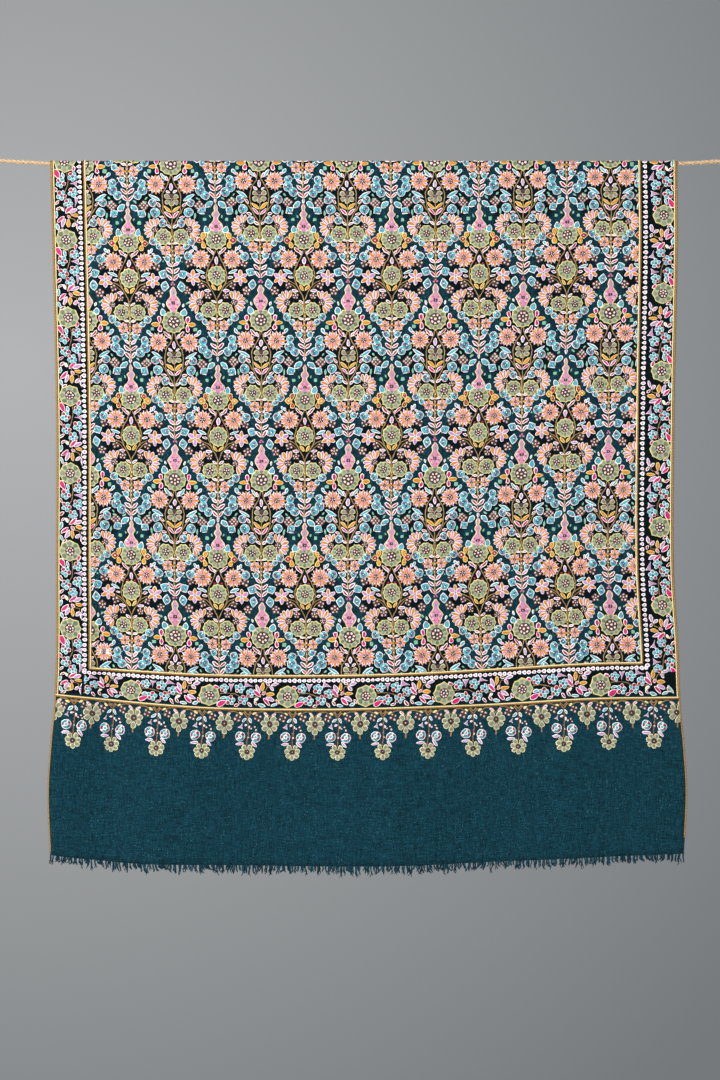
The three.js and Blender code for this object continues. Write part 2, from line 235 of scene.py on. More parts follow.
# Spun fibre: fine hairs and slubs that run every way, a colour that drifts from strand to strand, and painted
# shade in the hollows between the hairs
def build_spun_fibre():
    group, given, result = socket_group(
        "spun fibre",
        [
            ("Colour", "NodeSocketColor", (0.5, 0.5, 0.5, 1)),
            ("Shade", "NodeSocketColor", (0.2, 0.2, 0.2, 1)),
            ("Hair size", "NodeSocketFloat", 1.0),
            ("Drift", "NodeSocketFloat", 0.3),
        ],
        [("Colour", "NodeSocketColor"), ("Height", "NodeSocketFloat")],
    )
    place = add_node(group, "ShaderNodeTexCoord")
    hairs = add_node(
        group,
        "ShaderNodeTexNoise",
        noise_dimensions="3D",
        inputs={"Detail": 5, "Roughness": 0.65},
    )
    scale = add_node(group, "ShaderNodeMath", operation="DIVIDE", inputs={0: 1000})
    group.links.new(given.outputs["Hair size"], scale.inputs[1])
    group.links.new(scale.outputs[0], hairs.inputs["Scale"])
    group.links.new(place.outputs["Object"], hairs.inputs["Vector"])
    island = add_node(group, "ShaderNodeNewGeometry")
    drift = add_node(group, "ShaderNodeMath", operation="MULTIPLY")
    group.links.new(island.outputs["Random Per Island"], drift.inputs[0])
    group.links.new(given.outputs["Drift"], drift.inputs[1])
    # Painted shade: the colour turns to the Shade colour where the hair relief is low
    hollow_shade = add_node(
        group,
        "ShaderNodeMapRange",
        inputs={"From Min": 0.36, "From Max": 0.62, "To Min": 0.75, "To Max": 0.0},
    )
    group.links.new(hairs.outputs["Fac"], hollow_shade.inputs["Value"])
    both = add_node(group, "ShaderNodeMath", operation="ADD", use_clamp=True)
    group.links.new(drift.outputs[0], both.inputs[0])
    group.links.new(hollow_shade.outputs["Result"], both.inputs[1])
    mix = add_node(group, "ShaderNodeMix", data_type="RGBA")
    group.links.new(both.outputs[0], mix.inputs["Factor"])
    group.links.new(given.outputs["Colour"], mix.inputs["A"])
    group.links.new(given.outputs["Shade"], mix.inputs["B"])
    group.links.new(mix.outputs["Result"], result.inputs["Colour"])
    group.links.new(hairs.outputs["Fac"], result.inputs["Height"])
    return group


spun_fibre = build_spun_fibre()


def fibre_material(name, colour, shade, hair_size, drift, depth, roughness=0.85, specular=0.2, sheen=0.0):
    """A thread or yarn material: spun fibre of one colour, with its hairs as fine relief and painted shade in
    their hollows.
    """
    material, tree, shader = new_material(name, roughness, specular, sheen)
    fibre = add_node(
        tree,
        "ShaderNodeGroup",
        node_tree=spun_fibre,
        inputs={"Colour": colour, "Shade": shade, "Hair size": hair_size, "Drift": drift},
    )
    relief = add_node(tree, "ShaderNodeBump", inputs={"Distance": depth * MM, "Strength": 1.0})
    tree.links.new(fibre.outputs["Height"], relief.inputs["Height"])
    tree.links.new(relief.outputs["Normal"], shader.inputs["Normal"])
    tree.links.new(fibre.outputs["Colour"], shader.inputs["Base Color"])
    return material


jute = fibre_material("jute", linear(232, 206, 168), linear(158, 116, 72), 0.7, 0.25, 0.5)
jute_hair = fibre_material("jute hair", linear(240, 222, 190), linear(190, 155, 110), 0.7, 0.5, 0.1)

twine_points, twine_faces = twisted(twine_route, 1.7)
twine = make_object("jute_twine", twine_points, twine_faces, jute)


# Loose fibre ends that stand off the twine on both sides of the shawl
def twine_hairs():
    chance = np.random.default_rng(7)
    route = smooth_route(twine_route, 2)
    free = route[np.abs(route[:, 0]) > shawl_clears_x]
    parts = []
    for _ in range(fibre_ends):
        root = free[chance.integers(len(free))]
        around = chance.uniform(0, 2 * np.pi)
        out = np.array([0, math.cos(around), math.sin(around)])
        along = np.array([chance.choice([-1, 1]), 0, 0])
        length = chance.uniform(2.5, 7)
        lift = chance.uniform(0.4, 2.6)
        steps = np.linspace(0, 1, 4)[:, None]
        hair = root + out * fibre_root + along * length * steps + out * lift * steps**1.5
        parts.append(tube(hair, fibre_radius, 3))
    return joined(parts)


hairs = make_object("twine_hairs", *twine_hairs(), jute_hair)


# One end: a loop, three turns of knot that grip the twine, and the cut tail
def end_knot(side):
    loop_x = knot_centre_x + knot_reach + loop_radius - 1
    eye = [
        (
            loop_x - loop_radius * math.cos(turn),
            loop_radius * math.sin(turn),
            twine_rise + 1.2 * math.sin(turn / 2),
        )
        for turn in np.linspace(0, 2 * math.pi, 17)
    ]
    coils = [
        (
            knot_centre_x + coil_half_length * (turn / (coil_turns * math.pi) - 1),
            coil_radius * math.cos(turn),
            twine_rise + coil_radius * math.sin(turn),
        )
        for turn in np.linspace(0, 2 * coil_turns * math.pi, 12 * coil_turns + 1)
    ]
    core = [(knot_centre_x + x, 0, twine_rise) for x in (-7.2, 0, 7.6)]
    tail = [
        (knot_centre_x, -1, twine_rise - 3),
        (knot_centre_x - 3, 0, twine_rise - 9),
        (knot_centre_x - 5, 1, twine_rise - 15),
        (knot_centre_x - 6, 0, twine_rise - 21.5),
    ]
    parts = [twisted([(side * x, y, z) for x, y, z in route], 1.6) for route in (eye, coils, core, tail)]
    return joined(parts)


for side, label in ((-1, "left"), (1, "right")):
    loop = make_object(f"twine_knot_{label}", *end_knot(side), jute)
    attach(loop, "root")
    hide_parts(f"twine_loop_{label}")

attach(twine, "root")
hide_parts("twine")
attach(hairs, "root")


# The shawl cloth
# One piece of fine teal goat wool, 1 m wide and 2 m long, goes over the twine. Its front drop shows, and a
# shorter one hangs behind. Stitching draws the cloth in, and the plain end below it flares into soft folds.
cloth_width = 1000
cloth_length = 2000
front_length = 1112
cloth_thickness = 1.2
ridge_radius = 3.9
ridge_quarter = math.pi / 2 * ridge_radius
layer_half_gap = 2.4
gap_closes = 40
pucker_depth = 0.12
cloth_columns = 101
front_rows = 100
back_rows = 78
fold_reach = 12
closing_reach = 96
hem_line = 248
field_line = 302
left_field_line = 53
right_field_line = 941
repeat_width = 140.6
repeat_height = 248
first_a_column = 121
a_row_below = 121.5
cell_middle_below = 62.5
channel_share = 0.18
front_edges = (
    # below the twine, left selvedge, right selvedge
    (0, -502, 498),
    (125, -499, 499),
    (400, -493, 494),
    (640, -493, 493),
    (780, -493, 501),
    (870, -496, 505),
    (930, -502, 511),
    (1010, -507, 516),
    (1110, -503, 511),
)
back_edges = (
    # below the twine, left selvedge, right selvedge
    (0, -502, 498),
    (125, -498, 497),
    (400, -491, 491),
    (600, -489, 492),
    (720, -488, 495),
    (890, -492, 499),
)
weft_sag = (
    # across, at the field line, at the hem line, at the hem
    (0, 0, -8, 0),
    (120, 8, 4, 13),
    (260, 15, 14, 16),
    (420, 16, 16, 18),
    (560, 13, 13, 17),
    (700, 6, 8, 11),
    (850, -3, -1, 4),
    (1000, -5, -3, -1),
)
shared_folds = (
    # across, depth, half width, starts, full
    (25, -5, 34, 420, 1100),
    (82, 10, 36, 380, 1110),
    (190, -4, 62, 250, 1000),
    (330, 4, 70, 520, 1110),
    (520, -5, 95, 180, 900),
    (690, 5, 68, 430, 1110),
    (815, -5, 54, 300, 1050),
    (905, 6, 40, 560, 1110),
    (1000, 13, 46, 480, 1110),
)
back_folds = (
    # across, depth, half width, starts, full
    (150, 9, 60, 380, 880),
    (430, 6, 85, 420, 880),
    (700, 10, 65, 350, 880),
    (930, 7, 50, 450, 880),
)


def on_curve(rows, column, place):
    """A column of a table at some places, on a smooth curve through its rows."""
    at = np.array([row[0] for row in rows], dtype=float)
    values = [np.asarray(row[column], dtype=float) for row in rows]
    slopes = []
    for k in range(len(rows)):
        before, after = max(k - 1, 0), min(k + 1, len(rows) - 1)
        slopes.append((values[after] - values[before]) / (at[after] - at[before]))
    place = np.clip(place, at[0], at[-1])
    i = np.clip(np.searchsorted(at, place, side="left") - 1, 0, len(rows) - 2)
    values, slopes = np.stack(np.broadcast_arrays(*values)), np.stack(np.broadcast_arrays(*slopes))
    pick = (lambda table, k: table[k]) if values.ndim == 1 else (lambda table, k: table[k, np.arange(len(k))])
    step = at[i + 1] - at[i]
    t = (place - at[i]) / step
    return (
        pick(values, i) * (1 + 2 * t) * (1 - t) ** 2
        + pick(values, i + 1) * t * t * (3 - 2 * t)
        + step * t * (1 - t) * (pick(slopes, i) * (1 - t) - pick(slopes, i + 1) * t)
    )


def fold_depth(folds, across, below):
    """How far a table of folds moves the cloth along Y."""
    depth = np.zeros_like(across)
    for centre, fold, half_width, starts, full in folds:
        grown = np.clip((below - starts) / (full - starts), 0, 1)
        grown = grown * grown * (3 - 2 * grown)
        depth += fold * grown * np.exp(-(((across - centre) / half_width) ** 2))
    return depth


def cloth_middle(across, along):
    """The middle of the cloth, by how far across it and how far along from its front hem to its back one."""
    past = along - front_length
    front = past < 0
    below = np.maximum(np.abs(past) - ridge_quarter, 0)
    left = np.where(front, on_curve(front_edges, 1, below), on_curve(back_edges, 1, below))
    right = np.where(front, on_curve(front_edges, 2, below), on_curve(back_edges, 2, below))
    at_field, at_border, at_hem = (on_curve(weft_sag, column, across) for column in (1, 2, 3))
    sag = np.zeros_like(across)
    for is_front, length in ((True, front_length), (False, cloth_length - front_length)):
        length = length - ridge_quarter
        here = front == is_front
        levels = (
            (0, np.zeros(here.sum())),
            (length - field_line, at_field[here]),
            (length - hem_line, at_border[here]),
            (length, at_hem[here]),
        )
        if here.any():
            sag[here] = on_curve(levels, 1, below[here])
    half_gap = layer_half_gap + (ridge_radius - layer_half_gap) * np.exp(-((below / gap_closes) ** 2))
    shared = fold_depth(shared_folds, across, below)
    behind = shared + half_gap + fold_depth(back_folds, across, below)
    turn = past / ridge_radius
    over = below == 0
    x = left + (right - left) * across / cloth_width
    y = np.where(over, ridge_radius * np.sin(turn), np.where(front, shared - half_gap, behind))
    z = np.where(over, ridge_radius * np.cos(turn), -below - sag)
    return np.stack([x, y, z], axis=-1)


def off_cloth(across, along, lift):
    """Points that lie a lift out from the middle of the cloth, square to it."""
    across, along, lift = np.broadcast_arrays(
        np.asarray(across, dtype=float), np.asarray(along, dtype=float), np.asarray(lift, dtype=float)
    )
    shape = across.shape
    across, along, lift = across.ravel(), along.ravel(), lift.ravel()
    probe = 0.5
    rightward = cloth_middle(np.minimum(across + probe, cloth_width), along) - cloth_middle(
        np.maximum(across - probe, 0), along
    )
    upward = cloth_middle(across, np.minimum(along + probe, cloth_length)) - cloth_middle(
        across, np.maximum(along - probe, 0)
    )
    outward = np.cross(rightward, upward)
    outward /= np.linalg.norm(outward, axis=1, keepdims=True)
    return (cloth_middle(across, along) + outward * lift[:, None]).reshape(shape + (3,))


def cloth_rows():
    """The places along the cloth at which it is cut: close together over the twine, wider down the drops."""
    bends = front_length + np.arange(-fold_reach, fold_reach + 0.1, 1.0)
    closing = np.arange(fold_reach + 4, closing_reach - 4, 4)
    front = np.linspace(0, front_length - closing_reach, front_rows)
    back = np.linspace(front_length + closing_reach, cloth_length, back_rows)
    return np.concatenate([front, front_length - closing[::-1], bends, front_length + closing, back])


def stitched_ground(along):
    """1 where the cloth is embroidered, and 0 on its plain ends."""
    from_hem = np.minimum(along, cloth_length - along)
    return np.clip((from_hem - hem_line + 3) / 6, 0, 1)


def shade_among_stitches(across, along):
    """How much painted shade darkens the cloth between the stitches: 1 where they crowd the cloth, and less
    in the bare channels between the cells of the trellis.
    A channel's half width is given as a share of half a cell."""
    below = front_length - ridge_quarter - along
    sideways = np.abs((across - first_a_column) % repeat_width / (repeat_width / 2) - 1)
    downward = np.abs((below - a_row_below - cell_middle_below) % repeat_height / (repeat_height / 2) - 1)
    from_channel = np.abs(sideways + downward - 1)
    bare = np.clip(1.25 - from_channel / channel_share, 0, 1)
    in_field = (across > left_field_line) & (across < right_field_line)
    in_field &= (along > field_line) & (along < cloth_length - field_line)
    return 1 - bare * in_field


def make_cloth(material):
    across, along = np.meshgrid(np.linspace(0, cloth_width, cloth_columns), cloth_rows())
    pucker = pucker_depth * stitched_ground(along) * np.sin(across * 0.43) * np.sin(along * 0.39)
    half = cloth_thickness / 2
    outer = off_cloth(across, along, half + pucker).reshape(-1, 3)
    inner = off_cloth(across, along, -half).reshape(-1, 3)
    count = across.size
    number = np.arange(count).reshape(across.shape)
    low, right = number[:-1, :-1], number[:-1, 1:]
    up, far = number[1:, :-1], number[1:, 1:]
    front = np.stack([low, right, far, up], axis=-1).reshape(-1, 4)
    faces = [front, front[:, ::-1] + count]
    rim = np.concatenate([number[0], number[1:, -1], number[-1, -2::-1], number[-2:0:-1, 0]])
    following = np.roll(rim, -1)
    faces.append(np.stack([following, rim, rim + count, following + count], axis=-1))
    cloth = make_object("pashmina_cloth", np.concatenate([outer, inner]), np.concatenate(faces), material)
    # The outer face carries where painted shade darkens the cloth among the stitches; the inner face gets
    # none.
    shade_mask = cloth.data.attributes.new("stitch_shade", "FLOAT", "POINT")
    painted_shade = (stitched_ground(along) * shade_among_stitches(across, along)).ravel()
    shade_mask.data.foreach_set("value", np.concatenate([painted_shade, np.zeros_like(painted_shade)]))
    return cloth


# The weave: crossing wefts and warps as fine relief, with thicker yarns here and there and a soft nap.
# A wave texture's bands are 1 mm apart at this scale.
bands_at_1_mm = 314


def build_fine_weave():
    group, given, result = socket_group(
        "fine weave",
        [
            ("Colour", "NodeSocketColor", (0.5, 0.5, 0.5, 1)),
            ("Shade", "NodeSocketColor", (0.2, 0.2, 0.2, 1)),
            ("Fleck", "NodeSocketColor", (0.8, 0.8, 0.8, 1)),
            ("Yarn size", "NodeSocketFloat", 0.9),
        ],
        [("Colour", "NodeSocketColor"), ("Height", "NodeSocketFloat")],
    )
    place = add_node(group, "ShaderNodeTexCoord")
    yarns = []
    for direction in ("X", "Z"):
        wave = add_node(
            group,
            "ShaderNodeTexWave",
            bands_direction=direction,
            wave_profile="SIN",
            inputs={"Distortion": 1.6, "Detail": 2, "Detail Scale": 0.6},
        )
        scale = add_node(group, "ShaderNodeMath", operation="DIVIDE", inputs={0: bands_at_1_mm})
        group.links.new(given.outputs["Yarn size"], scale.inputs[1])
        group.links.new(scale.outputs[0], wave.inputs["Scale"])
        group.links.new(place.outputs["Object"], wave.inputs["Vector"])
        yarns.append(wave)
    crossing = add_node(group, "ShaderNodeMath", operation="MULTIPLY")
    group.links.new(yarns[0].outputs["Fac"], crossing.inputs[0])
    group.links.new(yarns[1].outputs["Fac"], crossing.inputs[1])
    slubs = []
    for stretch in ((900, 900, 70), (70, 70, 900)):
        pull = add_node(group, "ShaderNodeMapping", inputs={"Scale": stretch})
        group.links.new(place.outputs["Object"], pull.inputs["Vector"])
        slub = add_node(group, "ShaderNodeTexNoise", inputs={"Scale": 1.0, "Detail": 3})
        group.links.new(pull.outputs["Vector"], slub.inputs["Vector"])
        slubs.append(slub)
    streaks = add_node(group, "ShaderNodeMath", operation="ADD")
    group.links.new(slubs[0].outputs["Fac"], streaks.inputs[0])
    group.links.new(slubs[1].outputs["Fac"], streaks.inputs[1])
    nap = add_node(group, "ShaderNodeTexNoise", inputs={"Scale": 420, "Detail": 6, "Roughness": 0.7})
    group.links.new(place.outputs["Object"], nap.inputs["Vector"])
    height = add_node(group, "ShaderNodeMath", operation="MULTIPLY_ADD", inputs={1: 0.7})
    group.links.new(crossing.outputs[0], height.inputs[0])
    group.links.new(nap.outputs["Fac"], height.inputs[2])
    thick = add_node(group, "ShaderNodeMapRange", inputs={"From Min": 0.8, "From Max": 1.18})
    group.links.new(streaks.outputs[0], thick.inputs["Value"])
    shaded = add_node(group, "ShaderNodeMix", data_type="RGBA")
    group.links.new(thick.outputs["Result"], shaded.inputs["Factor"])
    group.links.new(given.outputs["Shade"], shaded.inputs["A"])
    group.links.new(given.outputs["Colour"], shaded.inputs["B"])
    flecks = add_node(
        group,
        "ShaderNodeMapRange",
        inputs={"From Min": 0.56, "From Max": 0.74, "To Max": 0.8},
    )
    group.links.new(nap.outputs["Fac"], flecks.inputs["Value"])
    flecked = add_node(group, "ShaderNodeMix", data_type="RGBA")
    group.links.new(flecks.outputs["Result"], flecked.inputs["Factor"])
    group.links.new(shaded.outputs["Result"], flecked.inputs["A"])
    group.links.new(given.outputs["Fleck"], flecked.inputs["B"])
    group.links.new(flecked.outputs["Result"], result.inputs["Colour"])
    group.links.new(height.outputs[0], result.inputs["Height"])
    return group


fine_weave = build_fine_weave()
teal = linear(22, 64, 76)
teal_shade = linear(9, 38, 47)
teal_fleck = linear(74, 124, 134)
# A near-black teal, painted shade for the ground among the stitches
stitch_shadow_teal = linear(3, 12, 16)


def pashmina_material():
    material, tree, shader = new_material("pashmina", 0.95, 0.08, 0.08)
    shader.inputs["Sheen Roughness"].default_value = 0.6
    shader.inputs["Sheen Tint"].default_value = linear(120, 170, 185)
    weave = add_node(
        tree,
        "ShaderNodeGroup",
        node_tree=fine_weave,
        inputs={"Colour": teal, "Shade": teal_shade, "Fleck": teal_fleck, "Yarn size": 0.9},
    )
    # Painted shade: the weave colour turns towards the near-black teal where the stitches crowd on the
    # embroidered part.
    stitch_shade = add_node(tree, "ShaderNodeAttribute", attribute_name="stitch_shade")
    darken = add_node(tree, "ShaderNodeMath", operation="MULTIPLY", inputs={1: 0.95})
    tree.links.new(stitch_shade.outputs["Fac"], darken.inputs[0])
    painted_shade = add_node(tree, "ShaderNodeMix", data_type="RGBA", inputs={"B": stitch_shadow_teal})
    tree.links.new(darken.outputs[0], painted_shade.inputs["Factor"])
    tree.links.new(weave.outputs["Colour"], painted_shade.inputs["A"])
    relief = add_node(tree, "ShaderNodeBump", inputs={"Distance": 0.7 * MM})
    tree.links.new(weave.outputs["Height"], relief.inputs["Height"])
    tree.links.new(relief.outputs["Normal"], shader.inputs["Normal"])
    tree.links.new(painted_shade.outputs["Result"], shader.inputs["Base Color"])
    return material


pashmina = pashmina_material()
cloth = make_cloth(pashmina)
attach(cloth, "root")
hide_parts("front_drop", "back_drop")


# The embroidery thread
# Fine coloured thread is worked through the cloth in small close stitches. Each petal or leaf is filled in
# one colour inside a pale outline. A motif is charted here as flat shapes, and is laid on the cloth later.
class Sampler:
    """Worked shapes by thread: points as x + iy, how far each is lifted off the cloth, and triangles."""

    def __init__(self):
        self.places = {}
        self.lifts = {}
        self.faces = {}

    def add(self, thread, places, lifts, faces):
        start = sum(len(part) for part in self.places.get(thread, ()))
        self.places.setdefault(thread, []).append(np.asarray(places))
        self.lifts.setdefault(thread, []).append(np.asarray(lifts, dtype=float))
        self.faces.setdefault(thread, []).append(np.asarray(faces) + start)

    def gathered(self):
        for thread in self.places:
            yield (
                thread,
                np.concatenate(self.places[thread]),
                np.concatenate(self.lifts[thread]),
                np.concatenate(self.faces[thread]),
            )

    def stamp(self, work, origin, turn=1, mirror=False, within=None):
        """Lay this sampler into another one at a place on the cloth, kept within (left, right, low, high)."""
        for thread, places, lifts, faces in self.gathered():
            if mirror:
                places, faces = -places.conj(), faces[:, ::-1]
            places = origin + turn * places
            if within:
                left, right, low, high = within
                places = np.clip(places.real, left, right) + 1j * np.clip(places.imag, low, high)
                one, two, three = places[faces].T
                area = ((two - one).conj() * (three - one)).imag / 2
                faces = faces[area > 0.004]
            if len(faces):
                work.add(thread, places, lifts, faces)


def sides_of(count):
    """The corners of a round outline of radius 1."""
    return np.exp(2j * np.pi * np.arange(count) / count)


round_6, round_8, round_10 = sides_of(6), sides_of(8), sides_of(10)
outlines = {
    "leaf": round_8.real + 1j * round_8.imag * np.abs(round_8.imag) ** 0.4,
    "petal": round_8.real + 1j * round_8.imag * (0.94 + 0.36 * round_8.real),
    "lozenge": round_8 * np.array([1, 0.8] * 4),
    "bell": np.array([1, 0.1 + 0.3j, -0.8 + 1j, -0.62 + 0j, -0.8 - 1j, 0.1 - 0.3j]),
    "bud": round_8.real + 1j * round_8.imag * (0.94 - 0.4 * round_8.real),
}
edge_low, edge_high = -0.15, 0.44
fill_low, fill_high = 0.38, 0.66
knot_low, knot_high = 0.5, 1.0
bloom = 0.5


def rings(sampler, thread, outline_rings, lifts, crown):
    """Closed rings one inside another, from the outside in, and a crown point unless it is None."""
    count = len(outline_rings[0])
    places = np.concatenate(outline_rings)
    heights = np.repeat(lifts, count)
    k = np.arange(count)
    following = (k + 1) % count
    faces = []
    for ring in range(len(outline_rings) - 1):
        outer, inner = ring * count, (ring + 1) * count
        faces.append(np.stack([outer + k, outer + following, inner + following], axis=1))
        faces.append(np.stack([outer + k, inner + following, inner + k], axis=1))
    middle = outline_rings[-1].mean()
    if crown is not None:
        last = (len(outline_rings) - 1) * count
        places = np.append(places, middle)
        heights = np.append(heights, crown)
        faces.append(np.stack([last + k, last + following, np.full(count, len(places) - 1)], axis=1))
    sampler.add(thread, places, heights, np.concatenate(faces))


def shape(sampler, kind, x, down, length, width, turn, thread, edge="white", rim=1.3, on=0.0):
    """One filled shape. length and width are half sizes along and across its turn, in degrees from +x.
    It fills out a little past its charted line. on is how far it lies above the ground stitches."""
    middle, axis = complex(x, -down), np.exp(1j * math.radians(turn))
    unit = outlines[kind]

    def outline(inset):
        half_length, half_width = max(length + bloom - inset, 0.3), max(width + bloom - inset, 0.25)
        return middle + axis * (half_length * unit.real + 1j * half_width * unit.imag)

    if edge:
        rings(sampler, edge, [outline(0), outline(rim * 1.08)], [edge_low + on, edge_high + on], None)
        rings(sampler, thread, [outline(rim)], [fill_low + on], fill_high + on)
    else:
        rings(sampler, thread, [outline(bloom)], [fill_low + on], fill_high + on)


def dot(sampler, x, down, radius, thread, low=knot_low, high=knot_high):
    """A French knot."""
    middle = complex(x, -down)
    rings(sampler, thread, [middle + radius * round_6], [low], high)


def strip(sampler, line, half_widths, thread, low, high):
    """A ridge of stitches along a line of places, as wide as is given at each of them."""
    heading = np.gradient(line)
    square = 1j * heading / np.abs(heading) * half_widths
    places = np.stack([line - square, line, line + square], axis=1)
    k = np.arange(len(line) - 1) * 3
    quads = []
    for side in (0, 1):
        a, b = k + side, k + side + 1
        quads += [np.stack([a, a + 3, b + 3], axis=1), np.stack([a, b + 3, b], axis=1)]
    heights = np.tile([low, high, low], len(line))
    sampler.add(thread, places.ravel(), heights, np.concatenate(quads))


def stem(sampler, points, width, thread, low=-0.1, high=0.5):
    """A stem along a smooth curve through (x, down) points."""
    route = smooth_route([(x, -down, 0) for x, down in points], 3.3)
    line = route[:, 0] + 1j * route[:, 1]
    strip(sampler, line, width / 2, thread, low, high)


def paired_stem(sampler, points, width=2.6, light=0.9):
    """A dark stem with a line of gold thread on it."""
    stem(sampler, points, width, "bark")
    stem(sampler, points, light, "gold", 0.3, 0.72)


def bottle(sampler, rows, rim=1.2):
    """A pink bottle with a cream edge, from rows of (down, half width), the lowest first."""
    line = np.array([-1j * down for down, _ in rows])
    half_widths = np.array([half_width for _, half_width in rows])

    def outline(inset):
        reach = np.maximum(half_widths - inset, 0.2)
        return np.concatenate([line + reach, (line - reach)[::-1]])

    rings(sampler, "cream", [outline(-bloom), outline(rim + 0.2)], [edge_low, edge_high], None)
    strip(sampler, line, np.maximum(half_widths - rim, 0.3), "pink", 0.36, 0.9)


def eye(sampler, x, down, radius, knots, low):
    """The brown middle of a flower, set with pale knots."""
    middle = complex(x, -down)
    rings(sampler, "brown", [middle + radius * round_10], [low], low + 0.2)
    dot(sampler, x, down, 0.2 * radius, "blush", low + 0.12, low + 0.5)
    for k in range(knots):
        place = middle + 0.6 * radius * np.exp(2j * math.pi * (k + 0.25) / knots)
        dot(sampler, place.real, -place.imag, 0.21 * radius, "blush", low, low + 0.5)


def daisy(sampler, x, down, radius, petals=16, knots=5):
    """Narrow petals in two colours by turns, on a white ground, round an eye of knots."""
    middle = complex(x, -down)
    radius += bloom
    tips = np.tile([1.03, 0.76], petals) * np.exp(1j * np.pi * np.arange(2 * petals) / petals)
    rings(sampler, "white", [middle + radius * tips, middle + 0.93 * radius * tips], [edge_low, 0.36], 0.4)
    half_width = min(math.pi * 0.74 * radius / petals - 0.66, 1.85)
    for petal in range(petals):
        turn = 360 * petal / petals
        reach = middle + 0.6 * radius * np.exp(1j * math.radians(turn))
        thread, share = (("orange", 1.2), ("pink", 0.86))[petal % 2]
        width = half_width * share
        shape(sampler, "leaf", reach.real, -reach.imag, 0.37 * radius, width, turn, thread, None, on=0.06)
    eye(sampler, x, down, 0.3 * radius, knots, 0.5)


def half_daisy(sampler, x, down, radius, start, end):
    """Nine petals that fan out on one side of an eye."""
    middle = complex(x, -down)
    petals = 9
    for petal in range(petals):
        turn = start + (end - start) * petal / (petals - 1)
        reach = middle + 0.66 * radius * np.exp(1j * math.radians(turn))
        pitch = abs(end - start) / (petals - 1) * math.pi / 180 * 0.74 * radius
        thread, share = (("orange", 0.54), ("pink", 0.44))[petal % 2]
        half = (0.37 * radius, share * pitch - 0.1)
        shape(sampler, "petal", reach.real, -reach.imag, *half, turn, thread, rim=0.9)
    eye(sampler, x, down, 0.27 * radius, 5, 0.58)


def star(sampler, x, down, radius):
    """Six pointed petals by turns in two colours."""
    middle = complex(x, -down)
    for petal in range(6):
        turn = 90 + 60 * petal
        reach = middle + 0.56 * radius * np.exp(1j * math.radians(turn))
        thread = ("orange", "lilac")[petal % 2]
        shape(sampler, "leaf", reach.real, -reach.imag, 0.46 * radius, 0.26 * radius, turn, thread, rim=0.95)
    dot(sampler, x, down, 0.13 * radius, "cyan", 0.55, 0.95)


def rosette(sampler, x, down, across, upright, lobes, eye_radius, knots, edge="butter"):
    """A round flower of green petals on a pale ground, with a lobed edge and a brown eye."""
    middle = complex(x, -down)
    count = 3 * lobes
    around = np.exp(2j * np.pi * np.arange(count) / count)
    wave = np.tile([1.06, 0.965, 0.965], lobes)

    def ringed(inset):
        return middle + wave * ((across - inset) * around.real + 1j * (upright - inset) * around.imag)

    rings(sampler, edge, [ringed(0), ringed(1.25)], [edge_low, 0.5], None)
    rings(sampler, "olive", [ringed(1.1), middle + 0.9 * eye_radius * around], [0.4, 0.42], None)
    width = min(across, upright) - 0.9 - 0.94 * eye_radius
    for k in range(lobes):
        turn = 2 * math.pi * k / lobes
        thread = ("sage", "moss")[k % 2]
        distance = eye_radius * 0.94 + 0.5 * width
        place = middle + distance * np.exp(1j * turn)
        half = (0.5 * width - 0.5, math.pi * distance / lobes - 0.65)
        shape(sampler, "petal", place.real, -place.imag, *half, math.degrees(turn), thread, None, on=0.1)
    eye(sampler, x, down, eye_radius, knots, 0.52)


def hearted(sampler, x, down, length, width, turn):
    """A pointed shape with a darker heart and a white knot in it."""
    shape(sampler, "lozenge", x, down, length + bloom, width + bloom, turn, "cyan")
    shape(sampler, "leaf", x, down, 0.46 * length, 0.26 * width, turn, "deep_cyan", None, on=0.22)
    dot(sampler, x, down, 0.15 * length, "white", 0.7, 1.05)


def berry(sampler, x, down, radius, knots):
    """A round berry with a white edge, a darker middle and crimson knots; larger ones get two white knots as
    painted highlights.
    """
    middle = complex(x, -down)
    radius += 1.5 * bloom
    edges = [middle + size * round_10 for size in (radius, radius - 0.95)]
    rings(sampler, "white", edges, [edge_low, edge_high], None)
    rings(sampler, "cyan", [middle + (radius - 0.85) * round_10], [fill_low], fill_high)
    if radius > 3.5:
        core = (0.52 * radius, 0.36 * radius)
        shape(sampler, "leaf", x + 0.1 * radius, down, *core, 60, "deep_cyan", None, on=0.22)
        # Two white knots as painted highlights, the larger one towards the upper left
        dot(sampler, x - 0.3 * radius, down - 0.38 * radius, 0.18 * radius, "white", 0.5, 0.95)
        dot(sampler, x + 0.05 * radius, down - 0.02 * radius, 0.13 * radius, "white", 0.75, 1.1)
    for k in range(knots):
        place = middle + 0.56 * radius * np.exp(1j * math.radians(20 - 100 * k))
        dot(sampler, place.real, -place.imag, min(0.27 * radius, 1.75), "crimson")


def cluster(sampler, x, down, radius, count):
    """A cushion of small brown seeds, each with a pale light on it."""
    middle = complex(x, -down)
    radius += bloom
    turns = np.pi * (np.arange(2 * count) / count + 0.5 / count)
    lobed = radius * np.tile([1.0, 0.84], count) * np.exp(1j * turns)
    rings(sampler, "brown", [middle + lobed, middle + 0.86 * lobed], [edge_low, 0.36], 0.42)
    spots = [0.6 * radius * np.exp(2j * math.pi * (k + 0.25) / count) for k in range(count)]
    if count > 4:
        spots.append(0j)
    size = 0.33 * radius if count <= 4 else 0.29 * radius
    for spot in spots:
        place = middle + spot
        rings(sampler, "clay", [place + size * round_8], [0.3], 0.7)
        dot(sampler, place.real, -place.imag, 0.5 * size, "blush", 0.58, 0.95)


